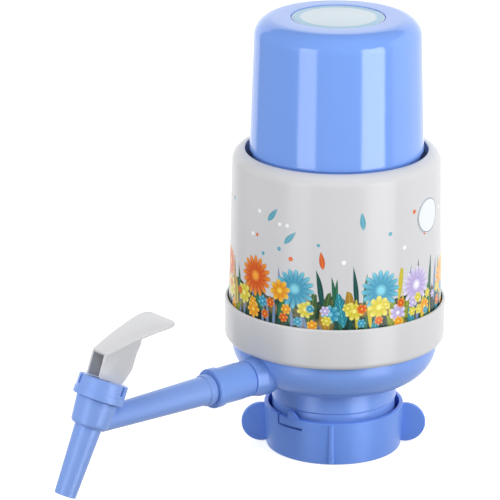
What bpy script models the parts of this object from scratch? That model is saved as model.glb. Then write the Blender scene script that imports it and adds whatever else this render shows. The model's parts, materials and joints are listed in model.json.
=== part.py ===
"""Hand pump for a water jug, modelled piece by piece in metres, +Z up.

The origin is on the neck axis, in the plane of the locking collar's foot.
The spout points along -Y. The press cap slides down inside the housing and
squeezes a bellows, the tap's lever lifts a spring-loaded stem, the spout turns
in its socket and the collar turns on the neck.
"""
import math

import bmesh
import bpy
from mathutils import Matrix, Vector

# Facets, clearances and overruns shared by every piece
LARGE_SIDES = 40
SMALL_SIDES = 24
TUBE_SIDES = 16
ARC_STEPS = 5
MERGE_DISTANCE = 0.00001
SEAT_GAP = 0.0003
CUT_OVERRUN = 0.0020
SHARP_ANGLE = math.radians(35.0)

# Press cap, the piece that the hand pushes
CAP_FOOT_RADIUS = 0.0430
CAP_TAPER = 0.0020
CAP_CORNER_RADIUS = 0.0090
CAP_WALL = 0.0018
CAP_ROOF = 0.0024
CAP_ENGAGED = 0.0230
CAP_FLANGE_THICKNESS = 0.0025
CAP_FLANGE_WIDTH = 0.0055
PRESS_TRAVEL = 0.0520
CAP_SHOWING_WHEN_PRESSED = 0.0145
LABEL_RADIUS = 0.0227
LABEL_RECESS_DEPTH = 0.0010
LABEL_THICKNESS = 0.0005
LABEL_SIDE_GAP = 0.0005

# Housing sleeve round the cap
CAP_RUNNING_GAP = 0.0022
SHOULDER_RADIUS = 0.0060
RIM_FLAT = 0.0003
SLEEVE_HEIGHT = 0.0930
SLEEVE_TAPER = 0.0018
SLEEVE_WALL = 0.0018
GUIDE_WALL = 0.0016
GUIDE_JOINT_ANGLE = 60.0

# Round sticker on the sleeve's side
STICKER_RADIUS = 0.0088
STICKER_THICKNESS = 0.0003
STICKER_AZIMUTH = math.radians(18.0)
STICKER_HEIGHT_SHARE = 0.722

# Lower band that ties the sleeve to the bowl
BAND_WALL = 0.0014
BAND_HEIGHT = 0.0210
BAND_RISE = 0.0030
BAND_FOOT_ROUNDING = 0.0030
BAND_EDGE_RADIUS = 0.0006

# Bowl-shaped base with its neck
BOWL_INSET = 0.0020
BOWL_CURVE_RADIUS = 0.0190
BOWL_RIM_RISE = 0.0072
BOWL_WALL = 0.0022
BOWL_LEDGE_WIDTH = 0.0024
NECK_INSET = 0.0010
NECK_SHOWING = 0.0130
NECK_STEP = 0.0005
NECK_STEP_DROP = 0.0075
NECK_WALL = 0.0024
NECK_ROOF = 0.0025
NECK_BEAD_HEIGHT = 0.0020
NECK_BEAD_RISE = 0.0014
VENT_RADIUS = 0.0020
VENT_CIRCLE_RADIUS = 0.0120
VENT_COUNT = 4
VENT_TURN = math.radians(40.0)

# Locking collar on the neck
COLLAR_HEIGHT = 0.0220
COLLAR_GAP = 0.0017
COLLAR_WALL = 0.0020
COLLAR_TAPER = 0.0010
COLLAR_FLOOR = 0.0022
COLLAR_LIP_HEIGHT = 0.0025
COLLAR_BEVEL = 0.0006
EARS_AZIMUTH = math.radians(50.0)
EAR_RADIUS = 0.0100
EAR_OVERHANG = 0.0014
EAR_THICKNESS = 0.0032
RIB_AZIMUTH = math.radians(-43.0)
RIB_RADIUS = 0.0012
LATCH_START_AZIMUTH = math.radians(-94.0)
LATCH_END_AZIMUTH = math.radians(-68.0)
LATCH_SLIT = 0.0008
LATCH_TONGUE_HEIGHT = 0.0055
LATCH_STEPS = 6
TOOTH_START_AZIMUTH = math.radians(-82.6)
TOOTH_CREST_AZIMUTH = math.radians(-78.5)
TOOTH_END_AZIMUTH = math.radians(-70.9)
TOOTH_RISE = 0.0035

# Spout socket on the bowl
SPOUT_RISE = 0.0116
SOCKET_NECK_RADIUS = 0.0082
SOCKET_BARREL_RADIUS = 0.0092
SOCKET_BARREL_LENGTH = 0.0148
SOCKET_ROOT_RADIUS = 0.0098
SOCKET_ROOT_LENGTH = 0.0030
SOCKET_LENGTH = 0.0297
SOCKET_FLANGE_RADIUS = 0.0097
SOCKET_FLANGE_LENGTH = 0.0050
SOCKET_FLANGE_EDGE = 0.0012
SOCKET_BORE_DEPTH = 0.0240
SOCKET_BOSS_RISE = 0.0016
PLUG_RADIUS = 0.0069
RING_SECTION_RADIUS = 0.0008
RING_PLACE_SHARE = 0.45

# Riser that carries the water from the dip tube to the spout
RISER_RADIUS = 0.0050
RISER_BORE_RADIUS = 0.0035
RISER_BEND_RADIUS = 0.0120
RISER_FOOT_HEIGHT = 0.0080
RISER_BEND_STEPS = 6

# Spout pipe and tap body, one moulding
PIPE_REACH = 0.0738
PIPE_ROOT_RADIUS = 0.00715
PIPE_END_RADIUS = 0.0057
PIPE_BORE_RADIUS = 0.0036
BEAD_RADIUS = 0.0078
BEAD_LENGTH = 0.0044
BEAD_EDGE = 0.0010
TAP_TILT = math.radians(24.5)
NOZZLE_LENGTH = 0.0347
NOZZLE_END_RADIUS = 0.00535
NOZZLE_TOP_RADIUS = 0.00665
NOZZLE_BORE_RADIUS = 0.0040
PIPE_ABOVE_FOOT = 0.0016
BODY_FOOT_RADIUS = 0.0090
BODY_TOP_RADIUS = 0.0103
BODY_HEIGHT = 0.0137
BODY_SHOULDER_RADIUS = 0.0030
BODY_SHOULDER_SWEEP = 75.0
THREAD_HEIGHT = 0.0068
THREAD_WALL = 0.0021
CHAMBER_FLOOR = 0.0027
SEAT_RISE = 0.0042
SEAT_WALL = 0.0012

# Bonnet nut and its gasket
NUT_WALL = 0.0016
NUT_SKIRT_STEP = 0.0004
NUT_SKIRT_HEIGHT = 0.0034
NUT_ROOF = 0.0016
NOTCH_COUNT = 3
NOTCH_WIDTH = 0.0018
NOTCH_DEPTH = 0.0010
NOTCH_HEIGHT = 0.0048
NOTCH_TURN = math.radians(15.0)
GASKET_THICKNESS = 0.0010

# Stem, washer and spring inside the tap
STEM_RADIUS = 0.0025
STEM_HOLE_GAP = 0.0006
WASHER_THICKNESS = 0.0022
WASHER_OVERHANG = 0.0005
STEM_FOOT_THICKNESS = 0.0020
STEM_HEAD_RISE = 0.0028
TAP_SPRING_WIRE = 0.0009
TAP_SPRING_TURNS = 4
CURL_POINTS = 10
PIN_RADIUS = 0.0010
PIN_SOCKET_DEPTH = 0.0006

# Tap lever, a channel with a flared wing
LEVER_WIDTH = 0.0104
LEVER_WALL = 0.0012
LEVER_PLATE = 0.0014
LEVER_WING_WIDTH = 0.0194
LEVER_REACH = 0.0301
LEVER_RISE = 0.0363
LEVER_FOOT_DROP = 0.0060
LEVER_WING_START_SHARE = 0.86
LEVER_SIDE_SHARES = (
    (0.25, 0.0), (0.285, 0.314), (-0.27, 0.709), (-0.33, 0.643),
    (-0.35, 0.587), (-0.33, 0.446), (-0.345, 0.22), (-0.245, 0.0),
)
LEVER_TOP_SHARES = ((0.285, 0.328), (-0.27, 0.73), (-0.75, 1.0))
LEVER_TOP_STEPS = 6
LEVER_END_STEPS = 5
LEVER_END_SWEEP = math.radians(72.0)
LEVER_END_FULLNESS = 0.5
LEVER_ROOT_SHARE = 0.55

# Bellows, spring, deck and valves inside the housing
DECK_THICKNESS = 0.0025
DECK_BOSS_RADIUS = 0.0120
DECK_BOSS_RISE = 0.0022
AIR_HOLE_RADIUS = 0.0014
AIR_HOLE_CIRCLE_RADIUS = 0.0055
AIR_HOLE_COUNT = 6
BELLOWS_CAP_GAP = 0.0016
BELLOWS_FOLD_DEPTH = 0.0060
BELLOWS_WALL = 0.0008
BELLOWS_FOLDS = 6
BELLOWS_FLANGE_THICKNESS = 0.0015
BELLOWS_FLANGE_WIDTH = 0.0070
BELLOWS_MOUTH_RADIUS = 0.0200
RETAINER_CLEARANCE = 0.0024
RETAINER_WIDTH = 0.0110
RETAINER_THICKNESS = 0.0020
TOP_PLATE_THICKNESS = 0.0023
TOP_PLATE_INSET = 0.0062
SPRING_RADIUS = 0.0150
SPRING_WIRE = 0.0016
SPRING_TURNS = 9
VALVE_STEM_RADIUS = 0.0018
VALVE_DISC_RADIUS = 0.0082
VALVE_DISC_THICKNESS = 0.0010
VALVE_KNOB_RADIUS = 0.0026
VALVE_KNOB_HEIGHT = 0.0016
GASKET_RING_WIDTH = 0.0100
GASKET_RING_THICKNESS = 0.0030

# Colours, with roughness and metallic value
BLUE_PLASTIC = ((0.230, 0.400, 0.830, 1.0), 0.32, 0.0)
GREY_PLASTIC = ((0.640, 0.640, 0.660, 1.0), 0.35, 0.0)
WHITE_PLASTIC = ((0.800, 0.800, 0.780, 1.0), 0.45, 0.0)
SOFT_RUBBER = ((0.700, 0.700, 0.680, 1.0), 0.70, 0.0)
LABEL_FILM = ((0.600, 0.690, 0.750, 1.0), 0.30, 0.0)
SPRING_STEEL = ((0.560, 0.560, 0.570, 1.0), 0.30, 1.0)

# Heights of the stack, from the collar's foot upward
NECK_TOP_Z = COLLAR_HEIGHT + NECK_SHOWING
BOWL_CURVE_Z = NECK_TOP_Z + BOWL_CURVE_RADIUS
BOWL_RIM_Z = BOWL_CURVE_Z + BOWL_RIM_RISE
SLEEVE_FOOT_Z = BOWL_RIM_Z + SEAT_GAP
SLEEVE_TOP_Z = SLEEVE_FOOT_Z + SLEEVE_HEIGHT
CAP_TOP_Z = SLEEVE_TOP_Z + CAP_SHOWING_WHEN_PRESSED + PRESS_TRAVEL
CAP_FOOT_Z = SLEEVE_TOP_Z - CAP_ENGAGED
CAP_CEILING_Z = CAP_TOP_Z - LABEL_RECESS_DEPTH - CAP_ROOF
NECK_FOOT_Z = COLLAR_FLOOR + SEAT_GAP
NECK_CEILING_Z = NECK_TOP_Z - NECK_ROOF
DECK_TOP_Z = BOWL_RIM_Z - DECK_THICKNESS + SEAT_GAP
DECK_FOOT_Z = DECK_TOP_Z - DECK_THICKNESS
BELLOWS_FOOT_Z = DECK_TOP_Z + SEAT_GAP
PLATE_TOP_Z = CAP_CEILING_Z - SEAT_GAP
PLATE_FOOT_Z = PLATE_TOP_Z - TOP_PLATE_THICKNESS
BELLOWS_TOP_Z = PLATE_FOOT_Z - SEAT_GAP

# Radii of the nest, from the cap outward and inward
CAP_TOP_RADIUS = CAP_FOOT_RADIUS - CAP_TAPER
MOUTH_RADIUS = CAP_FOOT_RADIUS + CAP_RUNNING_GAP
SLEEVE_TOP_RADIUS = MOUTH_RADIUS + RIM_FLAT + SHOULDER_RADIUS
SLEEVE_FOOT_RADIUS = SLEEVE_TOP_RADIUS + SLEEVE_TAPER
BAND_BORE_RADIUS = SLEEVE_FOOT_RADIUS + SEAT_GAP
BAND_RADIUS = BAND_BORE_RADIUS + BAND_WALL
BOWL_RADIUS = SLEEVE_FOOT_RADIUS - BOWL_INSET
BOWL_CURVE_CENTRE = BOWL_RADIUS - BOWL_CURVE_RADIUS
BOWL_INNER_RADIUS = BOWL_RADIUS - BOWL_WALL
NECK_RADIUS = BOWL_CURVE_CENTRE - NECK_INSET
NECK_LOWER_RADIUS = NECK_RADIUS - NECK_STEP
NECK_BORE_RADIUS = NECK_LOWER_RADIUS - NECK_WALL
COLLAR_MOUTH_RADIUS = NECK_RADIUS + COLLAR_GAP
COLLAR_TOP_RADIUS = COLLAR_MOUTH_RADIUS + COLLAR_WALL
COLLAR_FOOT_RADIUS = COLLAR_TOP_RADIUS - COLLAR_TAPER
BELLOWS_RADIUS = CAP_TOP_RADIUS - CAP_WALL - BELLOWS_CAP_GAP
BELLOWS_INNER_RADIUS = BELLOWS_RADIUS - BELLOWS_FOLD_DEPTH

# Places along the spout, measured from the neck axis
SPOUT_Z = NECK_TOP_Z + SPOUT_RISE
SOCKET_FACE = BOWL_RADIUS + SOCKET_LENGTH
PLUG_TIP = SOCKET_FACE - SOCKET_BORE_DEPTH + SEAT_GAP
PIPE_START = SOCKET_FACE + SEAT_GAP
PIPE_MEETS_TAP = SOCKET_FACE + PIPE_REACH
SOCKET_BORE_RADIUS = PLUG_RADIUS + SEAT_GAP

# Heights along the tap's own axis, measured up from the nozzle's end
PIPE_MEETS_HEIGHT = NOZZLE_LENGTH + PIPE_ABOVE_FOOT
CHAMBER_FLOOR_HEIGHT = NOZZLE_LENGTH + CHAMBER_FLOOR
SEAT_HEIGHT = CHAMBER_FLOOR_HEIGHT + SEAT_RISE
BODY_TOP_HEIGHT = NOZZLE_LENGTH + BODY_HEIGHT
THREAD_TOP_HEIGHT = BODY_TOP_HEIGHT + THREAD_HEIGHT
THREAD_RADIUS = BODY_TOP_RADIUS - SEAT_GAP
CHAMBER_RADIUS = THREAD_RADIUS - THREAD_WALL
GASKET_FOOT_HEIGHT = THREAD_TOP_HEIGHT + SEAT_GAP
NUT_CEILING_HEIGHT = GASKET_FOOT_HEIGHT + GASKET_THICKNESS + SEAT_GAP
NUT_TOP_HEIGHT = NUT_CEILING_HEIGHT + NUT_ROOF
PIN_HEIGHT = NUT_TOP_HEIGHT + SEAT_GAP + LEVER_FOOT_DROP
WASHER_FOOT_HEIGHT = SEAT_HEIGHT + SEAT_GAP
STEM_FOOT_HEIGHT = WASHER_FOOT_HEIGHT + WASHER_THICKNESS + SEAT_GAP
TAP_SPRING_FOOT = STEM_FOOT_HEIGHT + STEM_FOOT_THICKNESS + SEAT_GAP
TAP_SPRING_TOP = GASKET_FOOT_HEIGHT - SEAT_GAP
STEM_FOOT_RADIUS = NOZZLE_BORE_RADIUS + WASHER_OVERHANG
TAP_SPRING_RADIUS = STEM_RADIUS + SEAT_GAP + TAP_SPRING_WIRE


def clear_scene():
    """Remove everything that the file opens with."""
    for thing in list(bpy.data.objects):
        bpy.data.objects.remove(thing, do_unlink=True)


def make_collection(name):
    """Return a new collection linked to the scene."""
    collection = bpy.data.collections.new(name)
    bpy.context.scene.collection.children.link(collection)
    return collection


clear_scene()
PIECES = make_collection("jug_hand_pump")
CUTTERS = make_collection("cutters")


def make_material(name, finish):
    """Return a Principled material with the finish's colour, roughness and metallic value."""
    colour, roughness, metallic = finish
    material = bpy.data.materials.new(name)
    material.use_nodes = True
    shader = material.node_tree.nodes["Principled BSDF"]
    shader.inputs["Base Color"].default_value = colour
    shader.inputs["Roughness"].default_value = roughness
    shader.inputs["Metallic"].default_value = metallic
    material.diffuse_color = colour
    return material


def add_object(name, data, finish):
    """Link an object to the pieces, or to the cutters when it has no finish."""
    thing = bpy.data.objects.new(name, data)
    if finish is None:
        CUTTERS.objects.link(thing)
        thing.hide_render = True
        thing.display_type = "WIRE"
    else:
        PIECES.objects.link(thing)
        data.materials.append(make_material(name + "_material", finish))
    return thing


def arc(centre_across, centre_along, radius, start, end, steps=ARC_STEPS):
    """Return points of an arc; angles in degrees from the outward direction."""
    points = []
    for step in range(steps + 1):
        angle = math.radians(start + (end - start) * step / steps)
        across = centre_across + radius * math.cos(angle)
        along = centre_along + radius * math.sin(angle)
        points.append((across, along))
    return points


def turned(name, profile, sides, finish=None):
    """Turn a profile of (radius, height) points round the object's own Z axis.

    The profile runs down its outer side. It is open where both its ends lie on
    the axis, and otherwise closed, which leaves a bore.
    """
    on_axis = profile[0][0] == 0 and profile[-1][0] == 0
    mesh = bpy.data.meshes.new(name)
    shape = bmesh.new()
    corners = [shape.verts.new((across, 0, along)) for across, along in profile]
    for first, second in zip(corners, corners[1:]):
        shape.edges.new((first, second))
    if not on_axis:
        shape.edges.new((corners[-1], corners[0]))
    shape.to_mesh(mesh)
    shape.free()
    thing = add_object(name, mesh, finish)
    screw = thing.modifiers.new("turn", "SCREW")
    screw.axis = "Z"
    screw.angle = 2 * math.pi
    screw.steps = sides
    screw.render_steps = sides
    screw.use_merge_vertices = True
    screw.merge_threshold = MERGE_DISTANCE
    screw.use_smooth_shade = True
    return thing


def turned_ring(name, inner, outer, foot, top, sides, finish=None):
    """Turn a plain ring of rectangular section."""
    profile = [(outer, top), (outer, foot), (inner, foot), (inner, top)]
    return turned(name, profile, sides, finish)


def cylinder(name, radius, foot, top, sides, finish=None):
    """Turn a plain solid cylinder."""
    return turned(name, [(0, top), (radius, top), (radius, foot), (0, foot)], sides, finish)


def box(name, low, high, finish=None):
    """Make a box between two corners."""
    mesh = bpy.data.meshes.new(name)
    shape = bmesh.new()
    bmesh.ops.create_cube(shape, size=1)
    size = Vector(high) - Vector(low)
    middle = (Vector(high) + Vector(low)) / 2
    bmesh.ops.scale(shape, vec=size, verts=shape.verts)
    bmesh.ops.translate(shape, vec=middle, verts=shape.verts)
    shape.to_mesh(mesh)
    shape.free()
    return add_object(name, mesh, finish)


def as_mesh(thing, finish=None):
    """Replace a curve object with the mesh it evaluates to, its caps welded."""
    bpy.context.view_layer.update()
    evaluated = thing.evaluated_get(bpy.context.evaluated_depsgraph_get())
    mesh = bpy.data.meshes.new_from_object(evaluated)
    shape = bmesh.new()
    shape.from_mesh(mesh)
    bmesh.ops.remove_doubles(shape, verts=shape.verts, dist=MERGE_DISTANCE)
    bmesh.ops.recalc_face_normals(shape, faces=shape.faces)
    shape.to_mesh(mesh)
    shape.free()
    name = thing.name
    placed = thing.matrix_world.copy()
    bpy.data.objects.remove(thing, do_unlink=True)
    mesh.materials.clear()
    solid = add_object(name, mesh, finish)
    solid.matrix_world = placed
    return solid


def flat_solid(name, outline, thickness, finish=None):
    """Extrude a flat outline of (x, y) points, half its thickness each way along Z."""
    curve = bpy.data.curves.new(name, "CURVE")
    curve.dimensions = "2D"
    curve.fill_mode = "BOTH"
    curve.extrude = thickness / 2
    spline = curve.splines.new("POLY")
    spline.points.add(len(outline) - 1)
    for point, (x, y) in zip(spline.points, outline):
        point.co = (x, y, 0, 1)
    spline.use_cyclic_u = True
    thing = bpy.data.objects.new(name, curve)
    CUTTERS.objects.link(thing)
    return as_mesh(thing, finish)


def tube(name, route, radius, resolution, finish=None):
    """Sweep a round tube with filled ends along a route of points."""
    curve = bpy.data.curves.new(name, "CURVE")
    curve.dimensions = "3D"
    curve.bevel_depth = radius
    curve.bevel_resolution = resolution
    curve.use_fill_caps = True
    spline = curve.splines.new("POLY")
    spline.points.add(len(route) - 1)
    for point, place in zip(spline.points, route):
        point.co = (place[0], place[1], place[2], 1)
    thing = bpy.data.objects.new(name, curve)
    CUTTERS.objects.link(thing)
    return as_mesh(thing, finish)


def combine(thing, other, operation):
    """Add an exact Boolean of another object, kept among the cutters."""
    modifier = thing.modifiers.new(other.name, "BOOLEAN")
    modifier.operation = operation
    modifier.solver = "EXACT"
    modifier.object = other


def cut(thing, cutter):
    """Take the cutter away from the thing."""
    combine(thing, cutter, "DIFFERENCE")


def fuse(thing, other):
    """Join the other solid to the thing."""
    combine(thing, other, "UNION")


def place(thing, parent=None, location=(0, 0, 0), rotation=(0, 0, 0)):
    """Set an object's place under its parent and return it."""
    thing.parent = parent
    thing.location = location
    thing.rotation_euler = rotation
    return thing


def ring_of_cylinders(name, count, circle_radius, radius, foot, top, turn=0.0):
    """Make one cutter that holds several upright cylinders on a circle."""
    mesh = bpy.data.meshes.new(name)
    shape = bmesh.new()
    for index in range(count):
        angle = turn + 2 * math.pi * index / count
        middle = (circle_radius * math.cos(angle), circle_radius * math.sin(angle), (foot + top) / 2)
        bmesh.ops.create_cone(
            shape, cap_ends=True, segments=TUBE_SIDES // 2, radius1=radius, radius2=radius,
            depth=top - foot, matrix=Matrix.Translation(middle))
    shape.to_mesh(mesh)
    shape.free()
    return add_object(name, mesh, None)


def make_frame(name, location, rotation, parent=None):
    """Add an empty that carries pieces on one axis."""
    frame = bpy.data.objects.new(name, None)
    PIECES.objects.link(frame)
    return place(frame, parent, location, rotation)


def helix(radius, foot, top, turns):
    """Return the points of a coil that climbs at an even rate."""
    points = []
    count = turns * CURL_POINTS
    for index in range(count + 1):
        angle = 2 * math.pi * index / CURL_POINTS
        height = foot + (top - foot) * index / count
        points.append(Vector((radius * math.cos(angle), radius * math.sin(angle), height)))
    return points


def print_least_gap(name, points, wire):
    """Print the least gap between a coil's neighbouring curls, measured on its points."""
    least = min((a - b).length for a, b in zip(points, points[CURL_POINTS:])) - wire
    print(name, "least gap to itself in mm:", round(1000 * least, 3))


def coil_spring(name, radius, wire, foot, top, turns):
    """Make a round-wire coil spring whose wire stays between its foot and top."""
    points = helix(radius, foot + wire / 2, top - wire / 2, turns)
    print_least_gap(name, points, wire)
    return tube(name, points, wire / 2, 1, SPRING_STEEL)


def sleeve_radius_at(height):
    """Return the sleeve's outer radius at a world height."""
    share = (SLEEVE_TOP_Z - height) / SLEEVE_HEIGHT
    return SLEEVE_TOP_RADIUS + SLEEVE_TAPER * share


def make_press_cap():
    """Turn the blue cap: a tall inverted cup with a stop flange and a label recess."""
    recess_radius = LABEL_RADIUS + LABEL_SIDE_GAP
    recess_z = CAP_TOP_Z - LABEL_RECESS_DEPTH
    corner = CAP_TOP_RADIUS - CAP_CORNER_RADIUS
    flange_radius = CAP_FOOT_RADIUS + CAP_FLANGE_WIDTH
    profile = [(0, recess_z), (recess_radius, recess_z), (recess_radius, CAP_TOP_Z)]
    profile += arc(corner, CAP_TOP_Z - CAP_CORNER_RADIUS, CAP_CORNER_RADIUS, 90, 0)
    profile += [
        (CAP_FOOT_RADIUS, CAP_FOOT_Z + CAP_FLANGE_THICKNESS),
        (flange_radius, CAP_FOOT_Z + CAP_FLANGE_THICKNESS),
        (flange_radius, CAP_FOOT_Z),
        (CAP_FOOT_RADIUS - CAP_WALL, CAP_FOOT_Z),
    ]
    inner_corner = CAP_CORNER_RADIUS - CAP_WALL
    profile += arc(corner, CAP_CEILING_Z - inner_corner, inner_corner, 0, 90, 3)
    profile.append((0, CAP_CEILING_Z))
    turned("press_cap", profile, LARGE_SIDES, BLUE_PLASTIC)
    label_foot = recess_z + SEAT_GAP
    cylinder("cap_label", LABEL_RADIUS, label_foot, label_foot + LABEL_THICKNESS, LARGE_SIDES, LABEL_FILM)


def make_housing_sleeve():
    """Turn the grey sleeve, whose rim rolls inward to a skirt that guides the cap."""
    guide_foot = CAP_FOOT_Z + CAP_FLANGE_THICKNESS + SEAT_GAP
    guide_radius = MOUTH_RADIUS + GUIDE_WALL
    shoulder = SLEEVE_TOP_RADIUS - SHOULDER_RADIUS
    inner_curve = SHOULDER_RADIUS - SLEEVE_WALL
    shoulder_z = SLEEVE_TOP_Z - SHOULDER_RADIUS
    profile = [(MOUTH_RADIUS, SLEEVE_TOP_Z)]
    profile += arc(shoulder, shoulder_z, SHOULDER_RADIUS, 90, 0)
    profile += [
        (SLEEVE_FOOT_RADIUS, SLEEVE_FOOT_Z),
        (SLEEVE_FOOT_RADIUS - SLEEVE_WALL, SLEEVE_FOOT_Z),
    ]
    profile += arc(shoulder, shoulder_z, inner_curve, 0, GUIDE_JOINT_ANGLE, 2)
    profile += [
        (guide_radius, shoulder_z + inner_curve * math.sin(math.radians(GUIDE_JOINT_ANGLE))),
        (guide_radius, guide_foot),
        (MOUTH_RADIUS, guide_foot),
    ]
    return turned("housing_sleeve", profile, LARGE_SIDES, GREY_PLASTIC)


def make_side_sticker():
    """Cut a round patch out of a thin skin that follows the sleeve."""
    height = SLEEVE_FOOT_Z + SLEEVE_HEIGHT * STICKER_HEIGHT_SHARE
    low = height - STICKER_RADIUS - CUT_OVERRUN
    high = height + STICKER_RADIUS + CUT_OVERRUN
    inner_low = sleeve_radius_at(low) + SEAT_GAP
    inner_high = sleeve_radius_at(high) + SEAT_GAP
    profile = [
        (inner_high + STICKER_THICKNESS, high), (inner_low + STICKER_THICKNESS, low),
        (inner_low, low), (inner_high, high),
    ]
    sticker = turned("side_sticker", profile, LARGE_SIDES, LABEL_FILM)
    punch = cylinder("sticker_punch", STICKER_RADIUS, 0, 2 * BAND_RADIUS, SMALL_SIDES)
    place(punch, None, (0, 0, height), (0, math.pi / 2, STICKER_AZIMUTH))
    combine(sticker, punch, "INTERSECT")


def make_lower_band():
    """Turn the grey band that clamps the sleeve on the bowl, with a rounded foot."""
    foot = BOWL_CURVE_Z + BAND_RISE
    top = foot + BAND_HEIGHT
    edge = BAND_RADIUS - BAND_EDGE_RADIUS
    profile = [(BAND_BORE_RADIUS, top)]
    profile += arc(edge, top - BAND_EDGE_RADIUS, BAND_EDGE_RADIUS, 90, 0, 2)
    rounding = BAND_RADIUS - BAND_FOOT_ROUNDING
    profile += arc(rounding, foot + BAND_FOOT_ROUNDING, BAND_FOOT_ROUNDING, 0, -90, 4)
    profile += [
        (BOWL_RADIUS + SEAT_GAP, foot),
        (BOWL_RADIUS + SEAT_GAP, BOWL_RIM_Z - BAND_WALL - BOWL_INSET),
        (BAND_BORE_RADIUS, BOWL_RIM_Z - BAND_WALL),
    ]
    turned("lower_band", profile, LARGE_SIDES, GREY_PLASTIC)


def socket_profile():
    """Return the outline of the spout socket along its own axis, face first."""
    flange_start = SOCKET_FACE - SOCKET_FLANGE_LENGTH
    edge = SOCKET_FLANGE_RADIUS - SOCKET_FLANGE_EDGE
    inner_end = BOWL_INNER_RADIUS - BOWL_LEDGE_WIDTH - SOCKET_BOSS_RISE
    profile = [(0, SOCKET_FACE)]
    profile += arc(edge, SOCKET_FACE - SOCKET_FLANGE_EDGE, SOCKET_FLANGE_EDGE, 90, 0, 2)
    profile += arc(edge, flange_start + SOCKET_FLANGE_EDGE, SOCKET_FLANGE_EDGE, 0, -60, 2)
    profile += [
        (SOCKET_BARREL_RADIUS, flange_start),
        (SOCKET_BARREL_RADIUS, flange_start - SOCKET_BARREL_LENGTH),
        (SOCKET_NECK_RADIUS, flange_start - SOCKET_BARREL_LENGTH - SOCKET_FLANGE_EDGE),
        (SOCKET_NECK_RADIUS, BOWL_RADIUS + SOCKET_ROOT_LENGTH),
        (SOCKET_ROOT_RADIUS, BOWL_RADIUS),
        (SOCKET_ROOT_RADIUS, inner_end),
        (0, inner_end),
    ]
    return profile


def make_base_bowl():
    """Turn the blue bowl and neck, join the spout socket and bore it."""
    curve = BOWL_CURVE_RADIUS - BOWL_WALL
    ledge_radius = BOWL_INNER_RADIUS - BOWL_LEDGE_WIDTH
    ledge_z = DECK_FOOT_Z - SEAT_GAP
    step_z = NECK_TOP_Z - NECK_STEP_DROP
    bead_z = NECK_FOOT_Z + NECK_BEAD_HEIGHT
    well_radius = NECK_BORE_RADIUS - NECK_WALL
    bowl_floor_z = NECK_TOP_Z + BOWL_WALL
    hole_radius = RISER_RADIUS + SEAT_GAP
    ledge_angle = math.degrees(math.acos((ledge_radius - BOWL_CURVE_CENTRE) / curve))
    profile = [(BOWL_RADIUS, BOWL_RIM_Z)]
    profile += arc(BOWL_CURVE_CENTRE, BOWL_CURVE_Z, BOWL_CURVE_RADIUS, 0, -90, 7)
    profile += [
        (NECK_RADIUS, NECK_TOP_Z),
        (NECK_RADIUS, step_z),
        (NECK_LOWER_RADIUS, step_z),
        (NECK_LOWER_RADIUS, bead_z + NECK_BEAD_RISE),
        (NECK_LOWER_RADIUS + NECK_BEAD_RISE, bead_z),
        (NECK_LOWER_RADIUS + NECK_BEAD_RISE, NECK_FOOT_Z),
        (NECK_BORE_RADIUS, NECK_FOOT_Z),
        (NECK_BORE_RADIUS, NECK_CEILING_Z),
        (hole_radius, NECK_CEILING_Z),
        (hole_radius, NECK_TOP_Z),
        (well_radius, NECK_TOP_Z),
        (well_radius + BOWL_WALL, bowl_floor_z),
    ]
    profile += arc(BOWL_CURVE_CENTRE, BOWL_CURVE_Z, curve, -90, -ledge_angle, 3)
    profile += [
        (ledge_radius, ledge_z),
        (BOWL_INNER_RADIUS, ledge_z),
        (BOWL_INNER_RADIUS, BOWL_RIM_Z),
    ]
    bowl = turned("base_bowl", profile, LARGE_SIDES, BLUE_PLASTIC)
    vents = ring_of_cylinders(
        "neck_vents", VENT_COUNT, VENT_CIRCLE_RADIUS, VENT_RADIUS,
        NECK_CEILING_Z - CUT_OVERRUN, NECK_TOP_Z + CUT_OVERRUN, VENT_TURN)
    cut(bowl, vents)
    outward = (math.pi / 2, 0, 0)
    centre = (0, 0, SPOUT_Z)
    socket = place(turned("socket_body", socket_profile(), SMALL_SIDES), None, centre, outward)
    fuse(bowl, socket)
    bore_floor = SOCKET_FACE - SOCKET_BORE_DEPTH
    bore_profile = [
        (0, SOCKET_FACE + CUT_OVERRUN),
        (SOCKET_BORE_RADIUS, SOCKET_FACE + CUT_OVERRUN),
        (SOCKET_BORE_RADIUS, bore_floor),
        (RISER_RADIUS + SEAT_GAP, bore_floor),
        (RISER_RADIUS + SEAT_GAP, ledge_radius - SOCKET_ROOT_RADIUS),
        (0, ledge_radius - SOCKET_ROOT_RADIUS),
    ]
    bore = place(turned("socket_bore", bore_profile, SMALL_SIDES), None, centre, outward)
    cut(bowl, bore)


def around(radius, angle, height):
    """Return the point at a radius and azimuth."""
    return (radius * math.cos(angle), radius * math.sin(angle), height)


def make_latch_tooth():
    """Build the ramp tooth that stands on the collar's latch tongue."""
    low = COLLAR_HEIGHT - CUT_OVERRUN
    high = COLLAR_HEIGHT + TOOTH_RISE
    inner = COLLAR_MOUTH_RADIUS - COLLAR_GAP
    outer = COLLAR_TOP_RADIUS - COLLAR_BEVEL / 2
    stations = (
        (TOOTH_START_AZIMUTH, high), (TOOTH_CREST_AZIMUTH, high),
        (TOOTH_END_AZIMUTH, COLLAR_HEIGHT),
    )
    mesh = bpy.data.meshes.new("latch_tooth")
    shape = bmesh.new()
    rings = []
    for angle, top in stations:
        corners = ((inner, low), (outer, low), (outer, top), (inner, top))
        rings.append([shape.verts.new(around(radius, angle, height)) for radius, height in corners])
    for first, second in zip(rings, rings[1:]):
        for index in range(4):
            following = (index + 1) % 4
            shape.faces.new((first[index], first[following], second[following], second[index]))
    shape.faces.new(rings[0])
    shape.faces.new(rings[-1])
    bmesh.ops.recalc_face_normals(shape, faces=shape.faces)
    shape.to_mesh(mesh)
    shape.free()
    return add_object("latch_tooth", mesh, None)


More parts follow.
